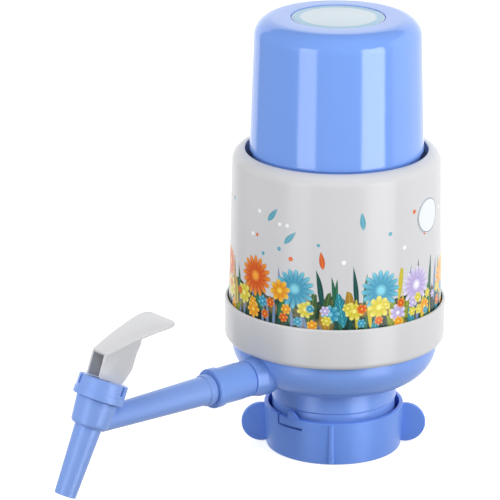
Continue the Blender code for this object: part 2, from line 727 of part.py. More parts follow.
def latch_cutter(name, start, end, foot, top):
    """Make a wedge of a ring that cuts through the collar's wall."""
    inner = COLLAR_MOUTH_RADIUS - CUT_OVERRUN / 2
    outer = COLLAR_TOP_RADIUS + CUT_OVERRUN
    angles = [start + (end - start) * step / LATCH_STEPS for step in range(LATCH_STEPS + 1)]
    outline = [around(outer, angle, 0)[:2] for angle in angles]
    outline += [around(inner, angle, 0)[:2] for angle in reversed(angles)]
    wedge = flat_solid(name, outline, top - foot)
    return place(wedge, None, (0, 0, (foot + top) / 2))


def make_locking_collar():
    """Make the collar with its two turning ears, grip rib and latch tongue."""
    lip_foot = NECK_FOOT_Z + NECK_BEAD_HEIGHT + NECK_BEAD_RISE + SEAT_GAP
    lip_radius = NECK_LOWER_RADIUS + SEAT_GAP
    bead_room = NECK_LOWER_RADIUS + NECK_BEAD_RISE + SEAT_GAP
    outer = [
        (0, COLLAR_HEIGHT),
        (COLLAR_TOP_RADIUS - COLLAR_BEVEL, COLLAR_HEIGHT),
        (COLLAR_TOP_RADIUS, COLLAR_HEIGHT - COLLAR_BEVEL),
        (COLLAR_FOOT_RADIUS, COLLAR_BEVEL),
        (COLLAR_FOOT_RADIUS - COLLAR_BEVEL, 0),
        (0, 0),
    ]
    collar = turned("locking_collar", outer, LARGE_SIDES, BLUE_PLASTIC)
    for index in range(2):
        ear = cylinder("ear_%d" % index, EAR_RADIUS, -EAR_THICKNESS / 2, EAR_THICKNESS / 2, SMALL_SIDES)
        angle = EARS_AZIMUTH + math.pi * index
        reach = COLLAR_TOP_RADIUS + EAR_OVERHANG
        height = COLLAR_HEIGHT / 2 - COLLAR_BEVEL
        place(ear, None, around(reach, angle, height), (math.pi / 2, 0, angle))
        bevel = ear.modifiers.new("soft_edge", "BEVEL")
        bevel.width = COLLAR_BEVEL
        bevel.segments = 1
        bevel.limit_method = "ANGLE"
        bevel.angle_limit = SHARP_ANGLE
        fuse(collar, ear)
    rib = cylinder("grip_rib", RIB_RADIUS, COLLAR_BEVEL, COLLAR_HEIGHT - COLLAR_BEVEL, TUBE_SIDES // 2)
    place(rib, None, around(COLLAR_FOOT_RADIUS, RIB_AZIMUTH, 0))
    fuse(collar, rib)
    fuse(collar, make_latch_tooth())
    bore = [
        (0, COLLAR_HEIGHT + TOOTH_RISE + CUT_OVERRUN),
        (COLLAR_MOUTH_RADIUS, COLLAR_HEIGHT + TOOTH_RISE + CUT_OVERRUN),
        (COLLAR_MOUTH_RADIUS, lip_foot + COLLAR_LIP_HEIGHT + COLLAR_GAP),
        (lip_radius, lip_foot + COLLAR_LIP_HEIGHT),
        (lip_radius, lip_foot),
        (bead_room, lip_foot),
        (bead_room, COLLAR_FLOOR),
        (NECK_BORE_RADIUS, COLLAR_FLOOR),
        (NECK_BORE_RADIUS, -CUT_OVERRUN),
        (0, -CUT_OVERRUN),
    ]
    slit_top = COLLAR_HEIGHT - LATCH_TONGUE_HEIGHT
    slit_foot = slit_top - LATCH_SLIT
    slot_turn = LATCH_SLIT / COLLAR_TOP_RADIUS
    slit_start = LATCH_START_AZIMUTH + slot_turn / 2
    cut(collar, latch_cutter("latch_slit", slit_start, LATCH_END_AZIMUTH, slit_foot, slit_top))
    slot_end = LATCH_START_AZIMUTH + slot_turn
    slot_foot = slit_top - LATCH_SLIT / 2
    slot_top = COLLAR_HEIGHT + CUT_OVERRUN
    cut(collar, latch_cutter("latch_slot", LATCH_START_AZIMUTH, slot_end, slot_foot, slot_top))
    cut(collar, turned("collar_bore", bore, LARGE_SIDES))


def make_water_riser():
    """Sweep the riser from the dip tube's spigot, round a bend, into the socket."""
    end = SOCKET_FACE - SOCKET_BORE_DEPTH
    bend_z = SPOUT_Z - RISER_BEND_RADIUS

    def route(overrun):
        points = [(0, 0, RISER_FOOT_HEIGHT - overrun)]
        for step in range(RISER_BEND_STEPS + 1):
            angle = math.pi / 2 * step / RISER_BEND_STEPS
            out = RISER_BEND_RADIUS * (1 - math.cos(angle))
            up = RISER_BEND_RADIUS * math.sin(angle)
            points.append((0, -out, bend_z + up))
        points.append((0, -end - overrun, SPOUT_Z))
        return points

    riser = tube("water_riser", route(0), RISER_RADIUS, 4, WHITE_PLASTIC)
    cut(riser, tube("riser_bore", route(CUT_OVERRUN), RISER_BORE_RADIUS, 3))


def make_bottle_gasket():
    """Turn the soft ring that seals on the jug's mouth."""
    outer = NECK_BORE_RADIUS - SEAT_GAP
    inner = outer - GASKET_RING_WIDTH
    top = NECK_CEILING_Z - SEAT_GAP
    turned_ring("bottle_gasket", inner, outer, top - GASKET_RING_THICKNESS, top, SMALL_SIDES, SOFT_RUBBER)


def make_deck():
    """Turn the deck that closes the bowl and carries the bellows, and drill its air holes."""
    boss_top = DECK_TOP_Z + DECK_BOSS_RISE
    hole = VALVE_STEM_RADIUS + SEAT_GAP
    boss_bore = DECK_BOSS_RADIUS - CAP_WALL
    profile = [
        (boss_bore, boss_top),
        (DECK_BOSS_RADIUS, boss_top),
        (DECK_BOSS_RADIUS, DECK_TOP_Z),
        (BOWL_INNER_RADIUS - SEAT_GAP, DECK_TOP_Z),
        (BOWL_INNER_RADIUS - SEAT_GAP, DECK_FOOT_Z),
        (hole, DECK_FOOT_Z),
        (hole, DECK_TOP_Z),
        (boss_bore, DECK_TOP_Z),
    ]
    deck = turned("base_deck", profile, SMALL_SIDES, WHITE_PLASTIC)
    holes = ring_of_cylinders(
        "air_holes", AIR_HOLE_COUNT, AIR_HOLE_CIRCLE_RADIUS, AIR_HOLE_RADIUS,
        DECK_FOOT_Z - CUT_OVERRUN, DECK_TOP_Z + CUT_OVERRUN)
    cut(deck, holes)


def umbrella_valve(name, plate_foot, plate_top):
    """Turn a soft valve: a disc under the plate, a stem through it and a knob on top."""
    disc_top = plate_foot - SEAT_GAP
    disc_foot = disc_top - VALVE_DISC_THICKNESS
    knob_foot = plate_top + SEAT_GAP
    profile = [
        (0, knob_foot + VALVE_KNOB_HEIGHT),
        (VALVE_KNOB_RADIUS / 2, knob_foot + VALVE_KNOB_HEIGHT),
        (VALVE_KNOB_RADIUS, knob_foot),
        (VALVE_STEM_RADIUS, knob_foot),
        (VALVE_STEM_RADIUS, disc_top),
        (VALVE_DISC_RADIUS, disc_top),
        (VALVE_DISC_RADIUS, disc_top - VALVE_DISC_THICKNESS / 2),
        (0, disc_foot - VALVE_DISC_THICKNESS / 2),
    ]
    turned(name, profile, TUBE_SIDES, SOFT_RUBBER)


def make_top_plate():
    """Turn the plate that closes the bellows under the cap's roof, with its intake valve."""
    valve_top = PLATE_TOP_Z - VALVE_KNOB_HEIGHT - 2 * SEAT_GAP
    hole = VALVE_STEM_RADIUS + SEAT_GAP
    well = VALVE_KNOB_RADIUS + SEAT_GAP
    profile = [
        (well, PLATE_TOP_Z),
        (BELLOWS_RADIUS - TOP_PLATE_INSET, PLATE_TOP_Z),
        (BELLOWS_RADIUS - TOP_PLATE_INSET, PLATE_FOOT_Z),
        (hole, PLATE_FOOT_Z),
        (hole, valve_top),
        (well, valve_top),
    ]
    turned("bellows_top_plate", profile, SMALL_SIDES, WHITE_PLASTIC)
    umbrella_valve("intake_valve", PLATE_FOOT_Z, valve_top)


def make_bellows():
    """Turn the thin folded bellows between the deck and the top plate."""
    fold_foot = BELLOWS_FOOT_Z + BELLOWS_FLANGE_THICKNESS
    fold_top = BELLOWS_TOP_Z - BELLOWS_FLANGE_THICKNESS
    height = (fold_top - fold_foot) / BELLOWS_FOLDS
    outer = [(BELLOWS_INNER_RADIUS, BELLOWS_TOP_Z), (BELLOWS_INNER_RADIUS, fold_top)]
    inner = [(BELLOWS_INNER_RADIUS - BELLOWS_WALL, fold_top)]
    for fold in range(BELLOWS_FOLDS):
        crest = fold_top - height * (fold + 1 / 2)
        valley = fold_top - height * (fold + 1)
        outer += [(BELLOWS_RADIUS, crest), (BELLOWS_INNER_RADIUS, valley)]
        inner += [(BELLOWS_RADIUS - BELLOWS_WALL, crest), (BELLOWS_INNER_RADIUS - BELLOWS_WALL, valley)]
    flange = BELLOWS_INNER_RADIUS + BELLOWS_FLANGE_WIDTH
    outer += [(flange, fold_foot), (flange, BELLOWS_FOOT_Z)]
    inner.append((BELLOWS_INNER_RADIUS - BELLOWS_WALL, BELLOWS_FOOT_Z))
    mouth = [(BELLOWS_MOUTH_RADIUS, fold_top), (BELLOWS_MOUTH_RADIUS, BELLOWS_TOP_Z)]
    profile = outer + list(reversed(inner)) + mouth
    turned("bellows", profile, SMALL_SIDES, WHITE_PLASTIC)
    retainer_foot = fold_foot + SEAT_GAP
    retainer_bore = BELLOWS_INNER_RADIUS + RETAINER_CLEARANCE
    turned_ring(
        "bellows_retainer", retainer_bore, retainer_bore + RETAINER_WIDTH,
        retainer_foot, retainer_foot + RETAINER_THICKNESS, SMALL_SIDES, WHITE_PLASTIC)


def make_return_spring():
    """Coil the spring that lifts the cap again."""
    foot = DECK_TOP_Z + SEAT_GAP
    coil_spring("return_spring", SPRING_RADIUS, SPRING_WIRE, foot, BELLOWS_TOP_Z, SPRING_TURNS)


def tap_body_profile():
    """Return the closed outline of nozzle, body and chamber along the tap's axis."""
    shoulder = BODY_FOOT_RADIUS - BODY_SHOULDER_RADIUS
    profile = [
        (THREAD_RADIUS, THREAD_TOP_HEIGHT),
        (THREAD_RADIUS, BODY_TOP_HEIGHT),
        (BODY_TOP_RADIUS, BODY_TOP_HEIGHT),
    ]
    shoulder_height = NOZZLE_LENGTH + BODY_SHOULDER_RADIUS
    profile += arc(shoulder, shoulder_height, BODY_SHOULDER_RADIUS, 0, -BODY_SHOULDER_SWEEP, 3)
    profile += [
        (NOZZLE_TOP_RADIUS, NOZZLE_LENGTH),
        (NOZZLE_END_RADIUS, 0),
        (NOZZLE_BORE_RADIUS, 0),
        (NOZZLE_BORE_RADIUS, SEAT_HEIGHT),
        (NOZZLE_BORE_RADIUS + SEAT_WALL, SEAT_HEIGHT),
        (NOZZLE_BORE_RADIUS + SEAT_WALL, CHAMBER_FLOOR_HEIGHT),
        (CHAMBER_RADIUS, CHAMBER_FLOOR_HEIGHT),
        (CHAMBER_RADIUS, THREAD_TOP_HEIGHT),
    ]
    return profile


def pipe_profile():
    """Return the outline of plug, bead and pipe along the spout's axis, tap end first."""
    bead_edge = BEAD_RADIUS - BEAD_EDGE
    bead_end = PIPE_START + BEAD_LENGTH
    ring_place = PLUG_TIP + (PIPE_START - PLUG_TIP) * RING_PLACE_SHARE
    groove = RING_SECTION_RADIUS + SEAT_GAP
    groove_radius = PLUG_RADIUS - 2 * RING_SECTION_RADIUS
    profile = [(0, PIPE_MEETS_TAP), (PIPE_END_RADIUS, PIPE_MEETS_TAP), (PIPE_ROOT_RADIUS, bead_end)]
    profile += arc(bead_edge, bead_end - BEAD_EDGE, BEAD_EDGE, 60, 0, 2)
    profile += [
        (BEAD_RADIUS, PIPE_START),
        (PLUG_RADIUS, PIPE_START),
        (PLUG_RADIUS, ring_place + groove),
        (groove_radius, ring_place + groove),
        (groove_radius, ring_place - groove),
        (PLUG_RADIUS, ring_place - groove),
        (PLUG_RADIUS, PLUG_TIP + BEAD_EDGE),
        (PLUG_RADIUS - BEAD_EDGE, PLUG_TIP),
        (0, PLUG_TIP),
    ]
    return profile, ring_place


def make_spout_and_tap(spout_frame, tap_frame):
    """Join the pipe to the tap body, cut its end square to the body and bore it."""
    body = place(turned("tap_body", tap_body_profile(), SMALL_SIDES, BLUE_PLASTIC), tap_frame)
    profile, ring_place = pipe_profile()
    pipe = place(turned("spout_pipe", profile, SMALL_SIDES), spout_frame)
    wide = 2 * BODY_TOP_RADIUS
    face = BODY_FOOT_RADIUS - SEAT_GAP
    trim = box("pipe_trim", (-wide, -wide, 0), (wide, face, THREAD_TOP_HEIGHT))
    cut(pipe, place(trim, tap_frame))
    fuse(body, pipe)
    bore_end = PIPE_MEETS_TAP - (NOZZLE_BORE_RADIUS + SEAT_WALL + PIPE_BORE_RADIUS) / math.cos(TAP_TILT)
    bore = cylinder("pipe_bore", PIPE_BORE_RADIUS, PLUG_TIP - CUT_OVERRUN, bore_end, TUBE_SIDES)
    cut(body, place(bore, spout_frame))
    ring_radius = PLUG_RADIUS - RING_SECTION_RADIUS
    ring_profile = arc(ring_radius, ring_place, RING_SECTION_RADIUS - MERGE_DISTANCE, 90, -210, 5)
    place(turned("spout_o_ring", ring_profile, SMALL_SIDES, SOFT_RUBBER), spout_frame)


def make_bonnet_nut(tap_frame):
    """Turn the nut with its stepped skirt and cut the grip notches round its top."""
    bore = BODY_TOP_RADIUS + SEAT_GAP
    outer = bore + NUT_WALL
    skirt = outer + NUT_SKIRT_STEP
    foot = BODY_TOP_HEIGHT + SEAT_GAP
    skirt_top = foot + NUT_SKIRT_HEIGHT
    stem_hole = STEM_RADIUS + STEM_HOLE_GAP
    profile = [
        (stem_hole, NUT_TOP_HEIGHT),
        (outer - NUT_SKIRT_STEP, NUT_TOP_HEIGHT),
        (outer, NUT_TOP_HEIGHT - NUT_SKIRT_STEP),
        (outer, skirt_top),
        (skirt, skirt_top),
        (skirt, foot),
        (bore, foot),
        (bore, NUT_CEILING_HEIGHT),
        (stem_hole, NUT_CEILING_HEIGHT),
    ]
    nut = place(turned("bonnet_nut", profile, SMALL_SIDES, BLUE_PLASTIC), tap_frame)
    mesh = bpy.data.meshes.new("grip_notches")
    shape = bmesh.new()
    notch_size = Vector((2 * NOTCH_DEPTH, NOTCH_WIDTH, 2 * NOTCH_HEIGHT))
    for index in range(NOTCH_COUNT):
        turn = Matrix.Rotation(NOTCH_TURN + 2 * math.pi * index / NOTCH_COUNT, 4, "Z")
        shift = Matrix.Translation((outer, 0, NUT_TOP_HEIGHT))
        bmesh.ops.create_cube(shape, size=1, matrix=turn @ shift @ Matrix.Diagonal(notch_size.to_4d()))
    shape.to_mesh(mesh)
    shape.free()
    cut(nut, place(add_object("grip_notches", mesh, None), tap_frame))
    gasket = turned_ring(
        "bonnet_gasket", stem_hole, BODY_TOP_RADIUS - SEAT_GAP, GASKET_FOOT_HEIGHT,
        GASKET_FOOT_HEIGHT + GASKET_THICKNESS, SMALL_SIDES, SOFT_RUBBER)
    place(gasket, tap_frame)


def make_stem(tap_frame):
    """Turn the stem with its foot, drill its head, and add washer, spring and pin."""
    profile = [
        (0, PIN_HEIGHT + STEM_HEAD_RISE),
        (STEM_RADIUS, PIN_HEIGHT + STEM_HEAD_RISE),
        (STEM_RADIUS, STEM_FOOT_HEIGHT + STEM_FOOT_THICKNESS),
        (STEM_FOOT_RADIUS, STEM_FOOT_HEIGHT + STEM_FOOT_THICKNESS),
        (STEM_FOOT_RADIUS, STEM_FOOT_HEIGHT),
        (0, STEM_FOOT_HEIGHT),
    ]
    stem = place(turned("tap_stem", profile, TUBE_SIDES, WHITE_PLASTIC), tap_frame)
    sideways = (0, math.pi / 2, 0)
    at_pin = (0, 0, PIN_HEIGHT)
    hole = cylinder("stem_pin_hole", PIN_RADIUS + SEAT_GAP, -LEVER_WIDTH, LEVER_WIDTH, TUBE_SIDES // 2)
    cut(stem, place(hole, tap_frame, at_pin, sideways))
    washer = cylinder(
        "stem_washer", STEM_FOOT_RADIUS, WASHER_FOOT_HEIGHT,
        WASHER_FOOT_HEIGHT + WASHER_THICKNESS, TUBE_SIDES, SOFT_RUBBER)
    place(washer, tap_frame)
    spring = coil_spring(
        "tap_spring", TAP_SPRING_RADIUS, TAP_SPRING_WIRE, TAP_SPRING_FOOT, TAP_SPRING_TOP,
        TAP_SPRING_TURNS)
    place(spring, tap_frame)
    pin_half = LEVER_WIDTH / 2 - LEVER_WALL + PIN_SOCKET_DEPTH
    pin = cylinder("lever_pin", PIN_RADIUS, -pin_half, pin_half, TUBE_SIDES // 2, SPRING_STEEL)
    place(pin, tap_frame, at_pin, sideways)


def lever_point(share_pair):
    """Return (toward the pump, up) of a lever point, measured from its pin."""
    across_share, rise_share = share_pair
    return (-across_share * LEVER_REACH, rise_share * LEVER_RISE - LEVER_FOOT_DROP)


def lever_top_at(travel):
    """Return the top surface's point at a share of its run, on a parabola through three points."""
    lip, root, tip = (Vector(lever_point(pair)) for pair in LEVER_TOP_SHARES)
    middle = LEVER_ROOT_SHARE
    lip_part = (travel - middle) * (travel - 1) / middle
    root_part = travel * (travel - 1) / (middle * (middle - 1))
    tip_part = travel * (travel - middle) / (1 - middle)
    return lip * lip_part + root * root_part + tip * tip_part


def lever_stations():
    """Return (share of the run, half width) down the plate, straight flare then round end."""
    start = LEVER_WIDTH / 2 + SEAT_GAP / 2
    wide = LEVER_WING_WIDTH / 2
    stations = []
    for step in range(LEVER_TOP_STEPS + 1):
        share = step / LEVER_TOP_STEPS
        stations.append((share * LEVER_WING_START_SHARE, start + (wide - start) * share))
    for step in range(1, LEVER_END_STEPS + 1):
        angle = LEVER_END_SWEEP * step / LEVER_END_STEPS
        travel = LEVER_WING_START_SHARE + (1 - LEVER_WING_START_SHARE) * math.sin(angle)
        stations.append((travel, wide * math.cos(angle) ** LEVER_END_FULLNESS))
    return stations


def make_lever_plate(lever_frame):
    """Loft the lever's curved plate, which widens from its lip to a round wing."""
    mesh = bpy.data.meshes.new("tap_lever")
    shape = bmesh.new()
    rings = []
    small = LEVER_PLATE / LEVER_REACH
    for travel, half_width in lever_stations():
        top = lever_top_at(travel)
        slope = (lever_top_at(travel + small) - lever_top_at(travel - small)).normalized()
        under = top + Vector((slope.y, -slope.x)) * LEVER_PLATE
        corners = ((half_width, top), (-half_width, top), (-half_width, under), (half_width, under))
        rings.append([shape.verts.new((x, point.x, point.y)) for x, point in corners])
    for first, second in zip(rings, rings[1:]):
        for index in range(4):
            following = (index + 1) % 4
            shape.faces.new((first[index], first[following], second[following], second[index]))
    shape.faces.new(rings[0])
    shape.faces.new(rings[-1])
    bmesh.ops.recalc_face_normals(shape, faces=shape.faces)
    shape.to_mesh(mesh)
    shape.free()
    return place(add_object("tap_lever", mesh, GREY_PLASTIC), lever_frame)


def make_lever(lever_frame):
    """Join two side walls to the lever's plate and sink the pin's sockets in them."""
    lever = make_lever_plate(lever_frame)
    outline = [lever_point(pair) for pair in LEVER_SIDE_SHARES]
    upright = (math.pi / 2, 0, math.pi / 2)
    for name, side in (("near_wall", 1), ("far_wall", -1)):
        wall = flat_solid(name, outline, LEVER_WALL)
        offset = side * (LEVER_WIDTH - LEVER_WALL) / 2
        fuse(lever, place(wall, lever_frame, (offset, 0, 0), upright))
    reach = LEVER_WIDTH / 2 - LEVER_WALL + PIN_SOCKET_DEPTH + SEAT_GAP
    socket = cylinder("pin_sockets", PIN_RADIUS + SEAT_GAP, -reach, reach, TUBE_SIDES // 2)
    cut(lever, place(socket, lever_frame, (0, 0, 0), (0, math.pi / 2, 0)))


def build():
    """Make every piece in its place."""
    make_press_cap()
    make_housing_sleeve()
    make_side_sticker()
    make_lower_band()
    make_base_bowl()
    make_locking_collar()
    make_water_riser()
    make_bottle_gasket()
    make_deck()
    umbrella_valve("outlet_valve", DECK_FOOT_Z, DECK_TOP_Z)
    make_top_plate()
    make_bellows()
    make_return_spring()
    spout_frame = make_frame("spout_axis", (0, 0, SPOUT_Z), (math.pi / 2, 0, 0))
    nozzle_out = PIPE_MEETS_TAP + PIPE_MEETS_HEIGHT * math.sin(TAP_TILT)
    nozzle_z = SPOUT_Z - PIPE_MEETS_HEIGHT * math.cos(TAP_TILT)
    tap_frame = make_frame("tap_axis", (0, -nozzle_out, nozzle_z), (-TAP_TILT, 0, 0))
    lever_frame = make_frame("lever_axis", (0, 0, PIN_HEIGHT), (0, 0, 0), tap_frame)
    make_spout_and_tap(spout_frame, tap_frame)
    make_bonnet_nut(tap_frame)
    make_stem(tap_frame)
    make_lever(lever_frame)
    bpy.context.view_layer.update()


build()
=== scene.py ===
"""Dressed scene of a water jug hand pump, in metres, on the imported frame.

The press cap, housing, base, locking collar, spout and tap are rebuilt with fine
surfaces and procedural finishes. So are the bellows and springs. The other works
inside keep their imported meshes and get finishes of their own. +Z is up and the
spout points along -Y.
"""
import json
import logging
import math
from collections.abc import Iterator, Sequence
from contextlib import contextmanager
from dataclasses import dataclass, field
from enum import Enum

import bmesh
import bpy
from mathutils import Euler, Matrix, Vector

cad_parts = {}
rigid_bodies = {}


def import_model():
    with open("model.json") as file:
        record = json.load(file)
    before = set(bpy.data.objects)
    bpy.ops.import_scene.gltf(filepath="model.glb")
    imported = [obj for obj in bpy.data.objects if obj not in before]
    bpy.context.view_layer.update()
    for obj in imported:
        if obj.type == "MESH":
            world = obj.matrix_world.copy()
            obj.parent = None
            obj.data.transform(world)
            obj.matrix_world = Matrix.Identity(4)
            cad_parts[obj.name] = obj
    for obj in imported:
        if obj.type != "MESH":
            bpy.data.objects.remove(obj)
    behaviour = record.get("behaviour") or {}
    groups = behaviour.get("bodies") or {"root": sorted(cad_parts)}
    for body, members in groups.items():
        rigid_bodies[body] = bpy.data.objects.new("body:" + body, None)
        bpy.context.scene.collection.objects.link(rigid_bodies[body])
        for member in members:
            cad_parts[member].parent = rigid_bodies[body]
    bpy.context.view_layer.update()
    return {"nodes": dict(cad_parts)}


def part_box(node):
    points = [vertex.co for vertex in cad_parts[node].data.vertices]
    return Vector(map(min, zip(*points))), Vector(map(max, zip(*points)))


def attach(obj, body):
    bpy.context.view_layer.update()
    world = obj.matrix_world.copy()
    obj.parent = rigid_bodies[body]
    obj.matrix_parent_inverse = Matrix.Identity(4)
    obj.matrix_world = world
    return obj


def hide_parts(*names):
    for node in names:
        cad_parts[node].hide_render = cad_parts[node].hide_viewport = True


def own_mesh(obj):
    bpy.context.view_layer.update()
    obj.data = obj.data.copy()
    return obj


LOG = logging.getLogger("jug_pump")

Outline = list[tuple[float, float]]
Colour = tuple[float, float, float, float]
Thing = bpy.types.Object
Finish = bpy.types.Material
Socket = bpy.types.NodeSocket
Value = Socket | float | tuple[float, ...]
Feeds = dict[str | int, Value]


class Body(Enum):
    """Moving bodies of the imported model."""

    BASE = "pump_base"
    CAP = "cap"
    COLLAR = "collar"
    SPOUT = "spout"
    STEM = "stem"
    LEVER = "lever"


class Slot(Enum):
    """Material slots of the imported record."""

    BLUE = "blue_plastic"
    GREY = "grey_plastic"
    WHITE = "white_plastic"
    RUBBER = "soft_rubber"
    FILM = "label_film"
    STEEL = "spring_steel"


class Join(Enum):
    """Ways in which two solids are combined."""

    CUT = "DIFFERENCE"
    FUSE = "UNION"


# Outlines and solids

FULL_SHARE = 0.99
STRAIGHT_HALF_ANGLE = math.radians(88.0)
FOLDED_HALF_ANGLE = math.radians(2.0)
MERGE = 0.000002
SHARP = math.radians(32.0)


@dataclass(frozen=True)
class Corner:
    """A corner of an outline, with the radius that rounds it."""

    across: float
    along: float
    rounding: float = 0.0


def bar(radius: float, top: float, foot: float, rounding: float = 0.0) -> list[Corner]:
    """List the corners of a round bar's outline, from the axis at its top to the axis at its foot."""
    return [Corner(0, top), Corner(radius, top, rounding), Corner(radius, foot, rounding), Corner(0, foot)]


def rectangle(across: float, low: float, high: float) -> Outline:
    """Return a rectangle that reaches as far to both sides, between two levels."""
    return [(-across, low), (across, low), (across, high), (-across, high)]


def rounded_corner(
    before: Vector, corner: Vector, after: Vector, radius: float, room: float, steps: int,
) -> Outline:
    """Replace one corner with an arc that touches both its sides.

    Args:
        before: The point before the corner.
        corner: The sharp corner.
        after: The point after the corner.
        radius: Radius of the arc.
        room: Length of the sides that the arc may take up.
        steps: Number of straight steps in the arc.

    Returns:
        The points of the arc, or the corner itself where it can't be rounded.
    """
    back = (before - corner).normalized()
    forth = (after - corner).normalized()
    half = back.angle(forth, math.pi) / 2
    if not FOLDED_HALF_ANGLE <= half <= STRAIGHT_HALF_ANGLE:
        return [tuple(corner)]
    reach = min(radius / math.tan(half), room)
    radius = reach * math.tan(half)
    centre = corner + (back + forth).normalized() * radius / math.sin(half)
    first = corner + back * reach - centre
    last = corner + forth * reach - centre
    turn = first.angle_signed(last)
    points = []
    for step in range(steps + 1):
        spoke = first.copy()
        spoke.rotate(Matrix.Rotation(-turn * step / steps, 2))
        points.append(tuple(centre + spoke))
    return points


def soften(corners: Sequence[Corner], closed: bool, steps: int) -> Outline:
    """Round the corners of an outline.

    Args:
        corners: The corners in order.
        closed: Whether the last corner joins the first.
        steps: Number of straight steps in each rounding.

    Returns:
        The points of the rounded outline.
    """
    points: Outline = []
    count = len(corners)
    for index, corner in enumerate(corners):
        inner = closed or 0 < index < count - 1
        here = Vector((corner.across, corner.along))
        if not inner or corner.rounding == 0:
            points.append((corner.across, corner.along))
            continue
        room = math.inf
        sides = []
        for neighbour in (corners[index - 1], corners[(index + 1) % count]):
            point = Vector((neighbour.across, neighbour.along))
            share = corner.rounding / (corner.rounding + neighbour.rounding)
            room = min(room, FULL_SHARE * share * (point - here).length)
            sides.append(point)
        points += rounded_corner(sides[0], here, sides[1], corner.rounding, room, steps)
    return points


def new_object(name: str, data: bpy.types.ID) -> Thing:
    """Link a mesh, lamp or camera to the scene under a name and return its object."""
    thing = bpy.data.objects.new(name, data)
    bpy.context.scene.collection.objects.link(thing)
    return thing


@contextmanager
def edited(mesh: bpy.types.Mesh) -> Iterator[bmesh.types.BMesh]:
    """Open a mesh for editing and write it back at the end."""
    shape = bmesh.new()
    shape.from_mesh(mesh)
    yield shape
    shape.to_mesh(mesh)
    shape.free()


def baked(thing: Thing) -> Thing:
    """Turn an object's live modifiers into a plain mesh with sound normals, and return it."""
    bpy.context.view_layer.update()
    evaluated = thing.evaluated_get(bpy.context.evaluated_depsgraph_get())
    mesh = bpy.data.meshes.new_from_object(evaluated)
    thing.modifiers.clear()
    thing.data = mesh
    with edited(mesh) as shape:
        bmesh.ops.remove_doubles(shape, verts=shape.verts, dist=MERGE)
        bmesh.ops.recalc_face_normals(shape, faces=shape.faces)
    return thing


def smoothed(thing: Thing) -> Thing:
    """Shade a piece smooth, with its sharp edges kept, and return it."""
    thing.data.shade_smooth()
    thing.data.set_sharp_from_angle(angle=SHARP)
    return thing


def placed(thing: Thing, matrix: Matrix) -> Thing:
    """Put a piece's place into its mesh and return it."""
    thing.data.transform(matrix)
    return thing


def joined(thing: Thing, tool: Thing, how: Join) -> Thing:
    """Combine a solid with a tool that is then removed.

    Args:
        thing: The solid that stays.
        tool: The solid that cuts it or joins it.
        how: The way of combining them.

    Returns:
        The solid that stays.
    """
    modifier = thing.modifiers.new(how.name, "BOOLEAN")
    modifier.operation = how.value
    modifier.solver = "EXACT"
    modifier.object = tool
    baked(thing)
    bpy.data.objects.remove(tool, do_unlink=True)
    return thing


def wire_object(name: str, points: Sequence[Sequence[float]], closed: bool = False) -> Thing:
    """Make an object of edges along a row of points.

    Args:
        name: The object's name.
        points: The points in order.
        closed: Whether the last point joins the first.

    Returns:
        The object, with edges and no faces.
    """
    mesh = bpy.data.meshes.new(name)
    with edited(mesh) as shape:
        corners = [shape.verts.new(point) for point in points]
        for first, second in zip(corners, corners[1:]):
            shape.edges.new((first, second))
        if closed:
            shape.edges.new((corners[-1], corners[0]))
    return new_object(name, mesh)


def flat_solid(name: str, outline: Outline, thickness: float) -> Thing:
    """Make a slab from a flat outline in X and Y, centred on its plane."""
    mesh = bpy.data.meshes.new(name)
    with edited(mesh) as shape:
        face = shape.faces.new([shape.verts.new((x, y, -thickness / 2)) for x, y in outline])
        grown = bmesh.ops.extrude_face_region(shape, geom=[face])
        moved = [item for item in grown["geom"] if isinstance(item, bmesh.types.BMVert)]
        bmesh.ops.translate(shape, vec=(0, 0, thickness), verts=moved)
        bmesh.ops.recalc_face_normals(shape, faces=shape.faces)
    return new_object(name, mesh)


def lofted(name: str, sections: Sequence[Sequence[Sequence[float]]]) -> Thing:
    """Make a closed solid through a row of sections with as many points each."""
    mesh = bpy.data.meshes.new(name)
    with edited(mesh) as shape:
        rings = [[shape.verts.new(point) for point in section] for section in sections]
        for first, second in zip(rings, rings[1:]):
            for index in range(len(first)):
                following = (index + 1) % len(first)
                shape.faces.new((first[index], first[following], second[following], second[index]))
        shape.faces.new(rings[0])
        shape.faces.new(rings[-1])
        bmesh.ops.recalc_face_normals(shape, faces=shape.faces)
    return new_object(name, mesh)


# Node trees


